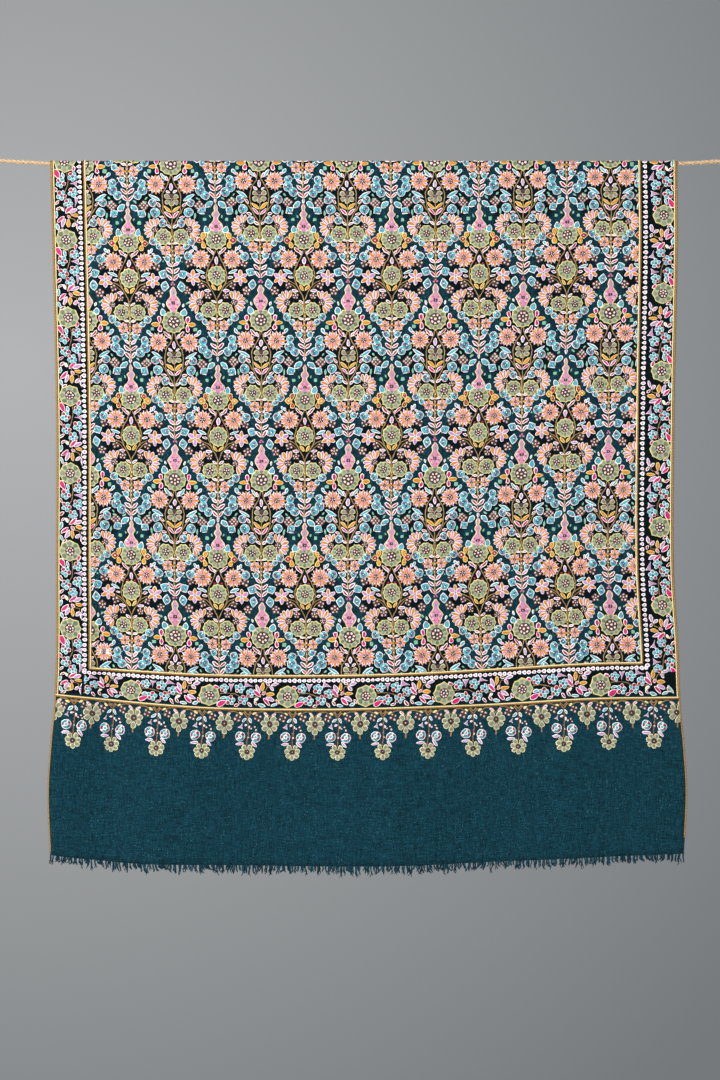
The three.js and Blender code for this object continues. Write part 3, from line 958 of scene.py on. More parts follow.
def diamond_cluster(sampler, x, down, half):
    """Nine seeds set on the point, each with a blush knot on it as a painted highlight."""
    shape(sampler, "lozenge", x, down, half, half * 0.92, 0, "brown", None, on=-0.2)
    step = half * 0.42
    for i in (-1, 0, 1):
        for j in (-1, 0, 1):
            place = complex(x + (i - j) * step * 0.75, -down + (i + j) * step * 0.8)
            rings(sampler, "clay", [place + 0.22 * half * round_8], [0.3], 0.7)
            # The blush knot on each seed is a painted highlight
            dot(sampler, place.real, -place.imag, 0.11 * half, "blush", 0.58, 0.95)


# The trellis field
# Two kinds of pointed cell alternate in a half-drop repeat, 140 mm wide and 248 mm high. Each is charted as
# its right half and its axis, from the middle of its large rosette.
bottle_a = (
    # down, half width
    (-12, 5.5),
    (-15.5, 9.6),
    (-19.5, 11.6),
    (-23.5, 9.8),
    (-27, 6.6),
    (-30.5, 4.0),
    (-33.5, 3.4),
    (-36, 5.0),
    (-39, 6.4),
    (-42, 5.0),
    (-44.5, 2.6),
    (-47, 3.0),
    (-50, 3.5),
    (-53, 2.2),
    (-55.5, 0.4),
)
bottle_b = (
    # down, half width
    (-15, 4.2),
    (-19, 6.2),
    (-23, 8.6),
    (-27, 10.8),
    (-30.5, 11.8),
    (-34, 10.2),
    (-38, 7.0),
    (-41, 4.4),
    (-43.5, 4.4),
    (-47, 5.8),
    (-50.5, 4.6),
    (-53.5, 2.4),
    (-55.5, 1.2),
)


def lower_half(half, first_berry):
    """What both cells have below: two small daisies, berries and a spine of leaves."""
    for row in (
        # kind, x, down, half length, half width, turn, thread
        ("leaf", 5.2, 98, 4.6, 2.1, 35, "crimson"),
        ("leaf", 5.2, 124.6, 4.4, 1.9, 10, "rose"),
        ("leaf", 4.0, 143.2, 3.0, 1.5, 60, "crimson"),
        ("leaf", 5.4, 157.6, 6.0, 2.6, 38, "rose"),
        ("leaf", 5.6, 167.4, 6.8, 2.8, 40, "crimson"),
        ("leaf", 4.8, 178.4, 6.8, 2.7, 48, "crimson"),
    ):
        shape(half, *row, rim=1.6)
    berry(half, first_berry, 121.8, 6, 2)
    berry(half, first_berry - 8.4, 129.6, 4.3, 1)
    berry(half, 8.6, 149.3, 4.8, 1)
    dot(half, 14.6, 146.4, 1.3, "white", 0.1, 0.6)
    dot(half, 15.5, 153.4, 1.2, "mint", 0.1, 0.6)
    daisy(half, 10.9, 135.6, 8.6, 8, 3)


def bottle_petals(axis, down):
    """Petals round the eye of a bottle shape."""
    for turn in (15, 165, 90, -48, 228):
        reach = complex(0, -down) + 6.0 * np.exp(1j * math.radians(turn))
        shape(axis, "petal", reach.real, -reach.imag, 2.6, 1.6, turn, "lilac", "white", rim=0.8, on=0.42)


def trunk(axis, top):
    """The stem on a cell's axis: dark, with two uneven lines of gold."""
    stem(axis, [(0, top), (0.4, 115), (-0.2, 140), (0.3, 160), (0, 185)], 3.9, "bark")
    stem(axis, [(-0.9, top), (-0.6, 115), (-1.1, 140), (-0.6, 160), (0, 184)], 1.5, "gold", 0.25, 0.66)
    stem(axis, [(1.1, top + 4), (1.3, 118), (0.8, 138), (1.1, 158)], 1.0, "old_gold", 0.25, 0.62)
    for down in range(int(top) + 22, 170, 6):
        dot(axis, 0.2, down, 1.1, "cream", 0.45, 0.85)


def cell_a(tall_tulips):
    half, axis = Sampler(), Sampler()
    out, up_down = ("crimson", "orange") if tall_tulips else ("orange", "crimson")
    for row in (
        # kind, x, down, half length, half width, turn, thread, edge
        ("petal", 20.6, -5.0, 5.6, 3.9, 100, up_down, "butter"),
        ("petal", 20.6, 8.8, 5.4, 3.9, -98, up_down, "butter"),
        ("lozenge", 26.6, 1.6, 6.2, 5.4, 0, out, "butter"),
        ("leaf", 10.6, 17.4, 6.8, 2.4, 46, "crimson", "white"),
        ("leaf", 5.2, 21.6, 4.0, 1.9, 66, "rose", "white"),
        ("leaf", 26.2, 50.8, 8.0, 2.5, 22, "cyan", "white"),
        ("leaf", 21.8, 59.6, 4.2, 2.0, 14, "crimson", "white"),
        ("leaf", 15.0, 80.6, 5.4, 2.3, 5, "lilac", "white"),
        ("leaf", 4.7, 76.2, 5.6, 2.4, 52, "orange", "butter"),
        ("leaf", 36.4, 13.0, 4.2, 2.4, 60, "cyan", "white"),
        ("leaf", 39.8, 19.0, 3.6, 2.0, 150, "rose", "white"),
        ("leaf", 32.4, 14.8, 3.4, 1.9, 100, "rose", "white"),
        ("leaf", 30.6, 40.0, 2.4, 1.3, -20, "mint", None),
        ("bud", 15.6, -15.4, 6.0, 5.0, 75, "cyan", "white"),
        ("lozenge", 17.6, -31, 3.4, 3.2, 45, "mint", None),
        ("leaf", 9.4, -35.6, 2.6, 1.3, 70, "mint", None),
        ("leaf", 10.6, -54.4, 7.4, 4.6, -38, "cyan", "white"),
        ("leaf", 37.2, 88.0, 2.6, 1.3, 100, "mint", None),
        ("leaf", 27.6, -63.0, 3.2, 1.5, 20, "mint", None),
    ):
        shape(half, *row)
    for x, down, radius, thread in (
        (26.8, 1.6, 1.3, "white"),
        (20.6, -5.6, 0.9, "butter"),
        (20.6, 9.4, 0.9, "butter"),
        (5.9, 40.4, 1.7, "crimson"),
        (14.2, -18.2, 1.0, "crimson"),
        (17.2, -14.6, 1.0, "crimson"),
        (8.0, -52.0, 1.1, "crimson"),
        (13.2, -52.4, 1.1, "crimson"),
        (18.4, -42.2, 1.4, "crimson"),
        (26.4, -41.6, 1.4, "crimson"),
        (15.4, 80.4, 1.1, "magenta"),
    ):
        dot(half, x, down, radius, thread)
    hearted(half, 22.4, -45.2, 7.0, 6.4, -35)
    daisy(half, 25.2, 31.2, 15.2)
    star(half, 37.9, 60.4, 12.2)
    berry(half, 45.0, 26.8, 6.6, 2)
    cluster(half, 44.4, 38.4, 5.9, 4)
    cluster(half, 25.6, 72.6, 5.5, 4)
    cluster(half, 47.6, 81.0, 7.2, 5)
    cluster(half, 14.4, 88.6, 5.9, 5)
    half_daisy(half, 27.2, 99.2, 18.6, 106, -66)
    rosette(half, 13.3, 111, 12.5, 12.5, 10, 6.2, 5)
    lower_half(half, 28.4)
    long_stem = [(1.5, 18), (5.7, 29), (10.8, 38), (15.4, 50), (16.2, 60), (11.5, 73), (4.4, 86), (0.8, 94)]
    paired_stem(half, long_stem)
    paired_stem(half, [(10.4, 75), (16.5, 68.5), (26.4, 64.2)], 1.9, 0.8)
    paired_stem(half, [(12.5, 78), (18.4, 71.8), (22.4, 69.4)], 1.5, 0.7)

    rosette(axis, 0, 0, 16.8, 16.3, 12, 8.3, 6)
    shape(axis, "leaf", 0, 33.4, 6.0, 3.0, 90, "lilac")
    rosette(axis, 0, 56.8, 14.6, 15.8, 12, 7, 6)
    trunk(axis, 93)
    shape(axis, "leaf", 0, 187, 4.4, 2.0, 90, "rose")
    bottle(axis, bottle_a)
    bottle_petals(axis, -19.8)
    shape(axis, "leaf", 0, -38.4, 2.6, 1.2, 90, "cyan", None, on=0.6)
    for x, down in ((-5.6, -16.6), (5.6, -16.6), (-4.4, -23.4), (4.4, -23.4), (0, -28.6), (0, -49)):
        dot(axis, x, down, 1.3, "magenta" if down > -28 else "lilac", 0.6, 0.95)
    eye(axis, 0, -19.8, 3.4, 0, 0.8)
    return half, axis


def cell_b(cool_sprigs):
    half, axis = Sampler(), Sampler()
    sprig = "cyan" if cool_sprigs else "crimson"
    for row in (
        # kind, x, down, half length, half width, turn, thread, edge
        ("petal", 22.8, -3.4, 5.6, 3.5, 82, "magenta", "white"),
        ("petal", 22.2, 10.2, 5.4, 3.5, -84, "magenta", "white"),
        ("leaf", 28.8, 3.8, 7.0, 3.6, 0, "orange", "butter"),
        ("lozenge", 34.6, 11.2, 3.8, 3.6, 45, "mint", None),
        ("leaf", 12.0, 20.0, 7.4, 2.5, 50, sprig, "white"),
        ("leaf", 6.4, 22.8, 4.4, 1.9, 64, "rose", "white"),
        ("leaf", 40.6, 16.4, 4.4, 2.9, 60, "cyan", "white"),
        ("leaf", 36.8, 20.2, 3.6, 1.9, 20, "rose", "white"),
        ("leaf", 5.8, 43.6, 3.7, 1.9, 35, "rose", "white"),
        ("leaf", 27.6, 52.6, 10.4, 2.7, 30, "cyan", "white"),
        ("leaf", 20.6, 63.6, 4.6, 2.1, 48, "crimson", "white"),
        ("leaf", 36.8, 81.6, 4.8, 1.7, 84, "mint", None),
        ("leaf", 40.6, 53.6, 2.8, 1.5, -50, "mint", None),
        ("leaf", 58.4, 59.4, 3.4, 1.6, 40, "mint", None),
        ("leaf", 16.6, 83.4, 4.2, 2.0, 12, "crimson", "white"),
        ("leaf", 6.6, 71.0, 8.0, 2.6, 40, "orange", "butter"),
        ("leaf", 6.0, 79.6, 7.4, 2.5, 44, "magenta", "white"),
        ("bud", 16.8, -15.4, 6.2, 5.2, 75, "cyan", "white"),
        ("leaf", 15.6, -26.2, 3.2, 1.7, 75, "mint", "white"),
        ("leaf", 22.6, -29.6, 2.8, 1.6, 40, "mint", None),
    ):
        shape(half, *row)
    for x, down, radius, thread in (
        (15.4, -17.8, 1.0, "crimson"),
        (18.6, -14.8, 1.0, "crimson"),
        (11.8, -78.4, 1.4, "crimson"),
        (12.4, -71.8, 1.4, "crimson"),
        (11.4, -58.6, 1.4, "crimson"),
        (11.6, -52.8, 1.4, "crimson"),
        (34.6, 11.2, 1.0, "sage"),
    ):
        dot(half, x, down, radius, thread)
    hearted(half, 15.4, -75.2, 7.6, 6.6, 25)
    hearted(half, 13.4, -56.0, 8.2, 6.2, 100)
    daisy(half, 24.9, 32.0, 15.0)
    berry(half, 46.8, 29.5, 5.8, 1)
    berry(half, 46.0, 41.2, 7.4, 3)
    berry(half, 54.4, 49.4, 6.6, 2)
    diamond_cluster(half, 44.7, 65.6, 9.4)
    berry(half, 30.4, 60.6, 6.2, 3)
    berry(half, 26.8, 76.2, 7.2, 2)
    berry(half, 14.6, 92.9, 6.1, 3)
    half_daisy(half, 27.0, 103.2, 18.2, 104, -64)
    rosette(half, 14.2, 114.4, 12.8, 12.8, 10, 6.3, 5)
    lower_half(half, 30.6)
    long_stem = [(1.5, 18), (3.8, 28.5), (8.6, 37), (13.4, 45.5), (15, 54), (14, 65)]
    paired_stem(half, long_stem + [(13, 75.5), (9, 85), (1, 98)])
    paired_stem(half, [(13.6, 78), (18.2, 70), (23.6, 64)], 1.9, 0.8)

    rosette(axis, 0, 0, 18.2, 17.6, 12, 10.4, 7)
    shape(axis, "leaf", 0, 36, 5.8, 2.9, 90, "lilac")
    rings(axis, "bark", [-55.6j + 9.5 * round_10], [0.0], 0.3)
    for x, down, turn in (
        (0, 61.6, -90),
        (-6.6, 59.4, 212),
        (6.6, 59.4, -32),
        (-6.8, 51.2, 150),
        (6.8, 51.2, 30),
    ):
        shape(axis, "petal", x, down, 4.6, 3.9, turn, "sage", "cream", rim=1.0)
        shape(axis, "leaf", x, down, 3.0, 1.4, turn, "clay", None, on=0.3)
    eye(axis, 0, 55, 3.6, 3, 0.6)
    paired_stem(axis, [(0, 61), (0.4, 74), (0, 97)], 2.0, 0.9)
    trunk(axis, 97)
    bottle(axis, bottle_b)
    bottle_petals(axis, -29.6)
    shape(axis, "leaf", 0, -46.4, 2.8, 1.3, 90, "cyan", None, on=0.6)
    for x, down in ((-6.2, -28), (6.2, -28), (-3.6, -35), (3.6, -35), (-3, -22), (3, -22)):
        dot(axis, x, down, 1.2, "magenta", 0.6, 0.95)
    eye(axis, 0, -30, 3.4, 0, 0.8)
    for x, down in ((-2.2, -59.6), (2.2, -59.6), (0, -62.6)):
        dot(axis, x, down, 1.7, "rose", 0.1, 0.7)
    return half, axis


first_b_column = 50.7
b_row_below = 246.5
drawn_drift = (
    # across, how far low the cells are drawn near the twine, at mid height and near the border
    (0, 2.5, 3.0, 0.8),
    (190, 2.6, 3.6, 0.8),
    (265, -2.8, 2.2, 0.8),
    (500, -2.2, 0.8, 0.4),
    (640, -3.0, 0.6, 0.2),
    (750, -4.6, -0.2, -0.6),
    (840, -8.0, -2.2, -1.2),
    (1000, -8.0, -2.6, 0.0),
)
embroidery = Sampler()


def drift(across, along):
    """The cells are drawn by hand, so they don't sit quite in line."""
    at = np.array([across])
    heights = ((420, 3), (700, 2), (960, 1))
    levels = [(place, on_curve(drawn_drift, column, at)[0]) for place, column in heights]
    return on_curve(levels, 1, np.array([along]))[0]


def lay_field(work):
    """The trellis, from the line above the front border over the twine to the line above the back border."""
    twine_top = front_length - ridge_quarter
    within = (left_field_line + 2, right_field_line - 2, field_line + 2, cloth_length - field_line - 2)
    for charts, first_column, row_below in (
        ([cell_a(True), cell_a(False)], first_a_column - repeat_width, a_row_below),
        ([cell_b(False), cell_b(True)], first_b_column, b_row_below),
    ):
        for column in range(8):
            for row in range(-5, 4):
                half, axis = charts[row % 2]
                across = first_column + column * repeat_width
                along = twine_top - row_below - row * repeat_height
                origin = complex(across, along - drift(across, along))
                half.stamp(work, origin, within=within)
                half.stamp(work, origin, mirror=True, within=within)
                axis.stamp(work, origin, within=within)


lay_field(embroidery)


# The vine border
# A winding vine of rosettes, berries and fan flowers runs down both sides and along both ends of the field,
# with a row of small white beads between it and the gold line. The vine is charted as it runs down the left.
vine_repeat = 124
right_vine_repeat = 125.5
first_right_rosette = 1022.5
vine_column = 21.5
right_vine_column = 979
end_vine_repeat = 125.4
first_end_rosette = -4.8
edge_margin = 2.5
line_margin = 3
bead_band = 12


def vine_chart():
    chart = Sampler()
    rosette(chart, 0, 0, 17.4, 16.6, 8, 8.2, 7)
    for row in (
        # kind, x, down, half length, half width, turn, thread, edge
        ("petal", -12.2, 19.6, 8.6, 4.6, 118, "magenta", "white"),
        ("leaf", -3.4, 21.4, 5.2, 2.6, 105, "cyan", "white"),
        ("petal", 14.2, 11.4, 4.8, 3.0, 70, "magenta", "white"),
        ("bell", 14.4, 34.8, 7.4, 4.8, 178, "lilac", "white"),
        ("bell", 17.8, 62.6, 8.6, 5.2, 256, "lilac", "white"),
        ("leaf", -15.0, 44.0, 4.4, 2.4, 110, "crimson", "white"),
        ("leaf", -13.4, 65.0, 5.0, 2.4, 40, "crimson", "white"),
        ("leaf", -4.8, 75.4, 4.0, 2.3, 120, "cream", "white"),
        ("leaf", -11.2, 74.0, 4.4, 2.3, 35, "crimson", "white"),
        ("leaf", -14.6, 84.0, 6.0, 2.8, 80, "cyan", "white"),
        ("leaf", 5.2, 76.2, 8.2, 3.3, 42, "magenta", "white"),
        ("leaf", 12.4, 77.6, 7.6, 3.3, 24, "lilac", "white"),
        ("leaf", 15.6, 85.2, 7.2, 3.1, -6, "orange", "butter"),
        ("leaf", -8.4, 91.4, 8.0, 3.3, 222, "magenta", "white"),
        ("leaf", -4.0, 97.2, 7.6, 3.2, 244, "lilac", "white"),
        ("leaf", 4.0, 97.6, 7.0, 3.2, 272, "orange", "butter"),
        ("leaf", 5.0, 87.6, 3.8, 2.6, 140, "rose", "blush"),
        ("leaf", 20.4, 93.6, 3.8, 2.4, 60, "crimson", "white"),
        ("leaf", 12.8, 100.0, 4.8, 2.9, 40, "lilac", "white"),
        ("leaf", 19.6, 105.0, 6.4, 2.8, 105, "lilac", "white"),
        ("leaf", -13.4, 103.6, 5.4, 2.6, 110, "cyan", "white"),
        ("leaf", -8.4, 109.0, 4.6, 2.2, 30, "crimson", "white"),
    ):
        shape(chart, *row)
    for x, down, size, last in (
        # x, down, radius of a flower of five berries, thread of its last berry
        (12.6, 23.4, 8.0, "cyan"),
        (-7.0, 33.6, 8.6, "crimson"),
        (12.4, 48.4, 8.6, "cyan"),
        (-6.0, 53.4, 8.6, "crimson"),
        (4.6, 65.6, 8.0, "cyan"),
    ):
        for k, thread in enumerate(("cyan", "crimson", "cyan", "cyan", last)):
            place = complex(x, -down) + 0.6 * size * np.exp(1j * math.radians(60 + 72 * k))
            edges = [place + 0.43 * size * round_8, place + 0.32 * size * round_8]
            rings(chart, "white", edges, [edge_low, 0.4], None)
            rings(chart, thread, [place + 0.33 * size * round_8], [0.36], 0.66)
        dot(chart, x, down, 0.2 * size, "deep_cyan", 0.4, 0.9)
    winding = [(3.5, 16.5), (4.8, 27), (3.2, 40), (-1, 50), (0.4, 60), (-1.4, 72), (3.4, 84), (8, 90)]
    stem(chart, winding + [(15, 92), (14, 104)], 1.4, "old_gold")
    return chart


def lay_borders(work):
    chart = vine_chart()
    twine_top = front_length - ridge_quarter
    back_hem_line, back_field_line = cloth_length - hem_line, cloth_length - field_line
    low_band, high_band = hem_line + line_margin, back_hem_line - line_margin
    right_edge = cloth_width - edge_margin
    left_side = (edge_margin, left_field_line - bead_band, low_band, high_band)
    right_side = (right_field_line + bead_band, right_edge, field_line - 14, back_field_line + 14)
    first_rosette = twine_top - a_row_below
    for k in range(-6, 6):
        along = first_rosette - k * vine_repeat
        chart.stamp(work, complex(vine_column, along), within=left_side)
    for k in range(-6, 7):
        along = first_right_rosette - k * right_vine_repeat
        chart.stamp(work, complex(right_vine_column, along), -1, within=right_side)
    front_band = (left_field_line - 8, right_edge, low_band, field_line - 9)
    back_band = (left_field_line - 8, right_edge, back_field_line + 9, high_band)
    corner_leaf = Sampler()
    shape(corner_leaf, "leaf", 0, 0, 8, 3.2, -50, "mint", "white")
    corner_flower = Sampler()
    rosette(corner_flower, 0, 0, 5.0, 4.8, 6, 1.9, 0, edge="cream")
    for along, band, mirror in ((hem_line, front_band, False), (back_hem_line, back_band, True)):
        inward = -1 if mirror else 1
        corner_flower.stamp(work, complex(20, along + inward * 14))
        for k in range(8):
            across = first_end_rosette + end_vine_repeat * k
            chart.stamp(work, complex(across, along + inward * vine_column), 1j, mirror, band)
        corner_leaf.stamp(work, complex(986, along + inward * 13), inward)


lay_borders(embroidery)


# The row of white beads beside the gold line, each stitched with a lilac middle
bead_inset = 8.5
bead_pitch_down = 8.1
bead_pitch_across = 7.85


def lay_beads(work):
    bead = Sampler()
    shape(bead, "bud", 0, 0, 3.7, 3.1, 180, "lilac", "white", rim=2.0)
    low, high = field_line - 8, cloth_length - field_line + 8
    left, right = left_field_line - bead_inset, right_field_line + bead_inset
    for along in np.arange(low + 5, high - 3, bead_pitch_down):
        bead.stamp(work, complex(left, along))
        bead.stamp(work, complex(right, along))
    for across in np.arange(left, right + 1, bead_pitch_across):
        bead.stamp(work, complex(across, low + 1))
        bead.stamp(work, complex(across, high - 1))


lay_beads(embroidery)


# The pendants
# Below the gold line hangs a row of sprays: a stem with two ringed berries and an open flower at its foot,
# and between each two a small flower. Thin scalloped stems link them.
pendant_lean = 0.07
seed_radius = 2.5
pendant_pitch = 72.2
pendants = 13
pendant_columns = [30] + [91 + pendant_pitch * k for k in range(pendants)]
small_pendant_columns = [1, 60] + [127 + pendant_pitch * k for k in range(pendants)]


def lobed_flower(chart, x, down, radius, lobes, pointed=False):
    """A cream flower whose petals leave a notch at the top."""
    middle = complex(x, -down)
    rings(chart, "sage", [middle + 0.5 * radius * round_10], [0.1], 0.4)
    for k in range(lobes):
        turn = 122 + 296 * k / (lobes - 1)
        reach = 0.64 * radius * np.exp(1j * math.radians(turn))
        if pointed and k == lobes // 2:
            reach *= 1.25
        place = middle + reach
        half, vein = (0.36 * radius, 0.3 * radius), (0.17 * radius, 0.05 * radius)
        shape(chart, "petal", place.real, -place.imag, *half, turn, "sage", "cream", rim=1.25)
        shape(chart, "leaf", place.real, -place.imag, *vein, turn, "clay", None, on=0.3)
    eye(chart, x, down, 0.34 * radius, 0, 0.6)


def ringed_berry(chart, x, down, radius):
    """White rings with cyan and crimson knots between them."""
    middle = complex(x, -down)
    outer = [middle + radius * round_10, middle + 0.86 * radius * round_10]
    inner = [middle + 0.42 * radius * round_8, middle + 0.26 * radius * round_8]
    rings(chart, "white", outer, [edge_low, 0.45], None)
    rings(chart, "brown", [middle + 0.87 * radius * round_10], [0.2], 0.25)
    for k in range(10):
        place = middle + 0.63 * radius * np.exp(2j * math.pi * k / 10)
        thread = ("cyan", "crimson", "white", "cyan")[k % 4]
        dot(chart, place.real, -place.imag, 0.19 * radius, thread, 0.3, 0.75)
    rings(chart, "white", inner, [0.3, 0.55], None)
    dot(chart, x, down, 0.27 * radius, "cyan", 0.3, 0.7)


def large_pendant():
    chart = Sampler()
    stem(chart, [(-6, 4.5), (0, 11.5), (6, 4.5)], 1.9, "amber")
    stem(chart, [(-5, 2), (0, 8), (5, 2)], 1.1, "gold")
    stem(chart, [(0, 10), (0.6, 22), (1, 36), (-0.4, 48), (-1, 60)], 2.6, "brown")
    stem(chart, [(0.2, 12), (0.9, 22), (1.2, 36), (-0.2, 48), (-0.8, 58)], 1.1, "amber", 0.3, 0.7)
    for row in (
        # kind, x, down, half length, half width, turn, thread, edge
        ("leaf", -5.4, 17.0, 4.8, 2.3, 40, "cyan", "white"),
        ("leaf", 3.8, 17.2, 4.6, 2.1, 118, "cyan", "white"),
        ("bell", -10.4, 26.4, 4.4, 3.8, 70, "lilac", "white"),
        ("leaf", -3.0, 24.6, 2.4, 1.5, 20, "rose", "white"),
        ("leaf", 3.0, 27.8, 2.2, 1.4, 100, "rose", "white"),
        ("leaf", -12.2, 54.8, 6.6, 2.4, 4, "lilac", "white"),
        ("leaf", 10.2, 55.6, 6.2, 2.3, 132, "lilac", "white"),
        ("leaf", -10.6, 6.6, 3.4, 1.8, 150, "cream", "butter"),
        ("leaf", 11.0, 6.2, 3.4, 1.8, 30, "cream", "butter"),
    ):
        shape(chart, *row)
    # Three brown seeds, each with a blush knot on it as a painted highlight
    for x, down in ((6.0, 30.6), (11.2, 28.0), (13.2, 33.0)):
        rings(chart, "brown", [complex(x, -down) + seed_radius * round_8], [-0.1], 0.5)
        dot(chart, x, down, 1.4, "blush", 0.3, 0.85)
    cluster(chart, 16.2, 13.2, 6.2, 4)
    cluster(chart, -16.2, 13.2, 6.2, 4)
    ringed_berry(chart, -11.6, 42.8, 8.3)
    ringed_berry(chart, 13.0, 44.6, 8.3)
    dot(chart, 1.0, 44, 1.5, "blush", 0.3, 0.95)
    dot(chart, 0.2, 38, 1.2, "clay", 0.3, 0.9)
    lobed_flower(chart, -0.6, 67.4, 12.6, 7)
    return chart


def small_pendant():
    chart = Sampler()
    lobed_flower(chart, 0, 23, 14.6, 7, pointed=True)
    shape(chart, "leaf", -6.2, 7.6, 3.9, 1.9, 150, "rose")
    shape(chart, "leaf", 6.2, 7.6, 3.9, 1.9, 30, "rose")
    stem(chart, [(-0.4, 40), (-0.6, 46.5)], 2.4, "amber")
    stem(chart, [(0, 12), (6, 5), (16, 3.2), (24, 7), (32, 4.2)], 1.7, "old_gold")
    stem(chart, [(-32, 4.2), (-24, 7), (-16, 3.2), (-6, 5), (0, 12)], 1.7, "old_gold")
    return chart


def lay_pendants(work):
    large, small = large_pendant(), small_pendant()
    whole = (1.5, cloth_width - 1.5, 0, cloth_length)
    for along, turn in ((hem_line, 1), (cloth_length - hem_line, -1)):
        for across in pendant_columns:
            plumb = np.exp(1j * pendant_lean * (1 - 2 * across / cloth_width))
            large.stamp(work, complex(across, along), turn * plumb, within=whole)
        for across in small_pendant_columns:
            small.stamp(work, complex(across, along), turn, within=whole)


lay_pendants(embroidery)


# Each colour of thread becomes one worked layer on the cloth, and follows it over the twine
thread_colours = {
    # thread: the colour, and its shade between the stitches
    "white": (linear(252, 249, 247), linear(226, 216, 214)),
    "cream": (linear(230, 220, 172), linear(194, 182, 130)),
    "butter": (linear(236, 220, 142), linear(202, 182, 98)),
    "sage": (linear(136, 144, 122), linear(102, 110, 90)),
    "moss": (linear(104, 122, 92), linear(72, 90, 62)),
    "olive": (linear(172, 172, 138), linear(138, 139, 104)),
    "mint": (linear(130, 182, 156), linear(90, 146, 120)),
    "cyan": (linear(86, 172, 182), linear(42, 128, 144)),
    "deep_cyan": (linear(14, 96, 114), linear(6, 66, 84)),
    "orange": (linear(206, 134, 48), linear(174, 100, 28)),
    "pink": (linear(198, 138, 158), linear(168, 102, 128)),
    "lilac": (linear(190, 142, 178), linear(158, 106, 148)),
    "rose": (linear(200, 118, 142), linear(166, 80, 108)),
    "magenta": (linear(204, 14, 108), linear(160, 4, 76)),
    "crimson": (linear(166, 12, 56), linear(118, 4, 34)),
    "brown": (linear(66, 42, 40), linear(38, 22, 22)),
    "clay": (linear(158, 124, 114), linear(112, 80, 74)),
    "blush": (linear(242, 216, 208), linear(214, 176, 166)),
    "gold": (linear(186, 152, 92), linear(142, 108, 56)),
    "old_gold": (linear(156, 124, 74), linear(108, 80, 44)),
    "amber": (linear(176, 118, 62), linear(132, 80, 34)),
    "bark": (linear(70, 58, 42), linear(42, 32, 22)),
}
thread_parts = {"white": 3}


def finer_over_the_twine(places, lifts, faces):
    """Cut the triangles that bend over the twine into smaller ones, twice."""
    for _ in range(2):
        bends = (np.abs(places.imag[faces] - front_length) < ridge_quarter + 3).any(axis=1)
        if not bends.any():
            break
        corners = faces[bends]
        kept = faces[~bends]
        start = len(places)
        pairs = [(0, 1), (1, 2), (2, 0)]
        middles = [(places[corners[:, a]] + places[corners[:, b]]) / 2 for a, b in pairs]
        heights = [(lifts[corners[:, a]] + lifts[corners[:, b]]) / 2 for a, b in pairs]
        places = np.concatenate([places, *middles])
        lifts = np.concatenate([lifts, *heights])
        count = len(corners)
        one, two, three = (start + np.arange(count) + k * count for k in range(3))
        a, b, c = corners.T
        faces = np.concatenate(
            [
                kept,
                np.stack([a, one, three], axis=1),
                np.stack([one, b, two], axis=1),
                np.stack([three, two, c], axis=1),
                np.stack([one, two, three], axis=1),
            ]
        )
    return places, lifts, faces


def without_strays(places, lifts, faces):
    """Only the points that the triangles use."""
    used, numbers = np.unique(faces, return_inverse=True)
    return places[used], lifts[used], numbers.reshape(faces.shape)


def by_hand(places):
    """Uneven shifts of the worked shapes by up to 0.75 mm, as no two are drawn alike."""
    across, along = places.real, places.imag
    sideways = 0.45 * np.sin(across * 0.33 + along * 0.21) + 0.3 * np.sin(across * 0.71 - along * 0.93)
    upward = 0.45 * np.sin(along * 0.37 - across * 0.17) + 0.3 * np.sin(along * 0.83 + across * 0.64)
    return np.clip(across + sideways, 1, cloth_width - 1) + 1j * (along + upward)


for thread, places, lifts, faces in embroidery.gathered():
    places = by_hand(places)
    colour, shade = thread_colours[thread]
    material = fibre_material(f"{thread} thread", colour, shade, 0.55, 0.35, 0.16, 0.62, 0.35, 0.1)
    parts = thread_parts.get(thread, 1)
    bands = np.linspace(0, cloth_length, parts + 1)
    middles = places.imag[faces].mean(axis=1)
    for part in range(parts):
        here = (middles >= bands[part]) & (middles < bands[part + 1])
        worked, raised, triangles = without_strays(places, lifts, faces[here])
        worked, raised, triangles = finer_over_the_twine(worked, raised, triangles)
        points = off_cloth(worked.real, worked.imag, cloth_thickness / 2 + raised)
        name = f"{thread}_stitches" if parts == 1 else f"{thread}_stitches_{part + 1}"
        piece = make_object(name, points, triangles, material)
        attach(piece, "root")


# The couched gold lines
# A gold line frames the field, and another closes the border from selvedge to selvedge. Each is a dark and a
# pale cord side by side, laid on the cloth and held down with small stitches.
line_cord_radius = 1.15
line_cord_gap = 2.1
bending_reach = 14


def cord_on_cloth(corners, radius, aside, pitch=4.0, around=6):
    """A cord laid on the cloth through corners given as (across, along), moved aside to its left."""
    places = []
    for start, end in zip(corners, corners[1:]):
        start, end = complex(*start), complex(*end)
        steps = max(1, round(abs(end - start) / pitch))
        places += [start + (end - start) * t for t in np.arange(steps) / steps]
    places.append(complex(*corners[-1]))
    line = np.array(places)
    finer = [line[0]]
    for before, after in zip(line, line[1:]):
        steps = 4 if abs(before.imag - front_length) < bending_reach else 1
        finer += [before + (after - before) * (k + 1) / steps for k in range(steps)]
    line = np.array(finer)
    heading = np.gradient(line)
    line = line + aside * 1j * heading / np.abs(heading)
    route = off_cloth(line.real, line.imag, cloth_thickness / 2 + radius * 0.7)
    return tube(route, radius, around)


def field_corners():
    """The frame round the whole field, once round and closed on itself."""
    low, high = field_line, cloth_length - field_line
    left, right = left_field_line, right_field_line
    middle = (left + right) / 2
    return [(middle, low), (right, low), (right, high), (left, high), (left, low), (middle, low)]


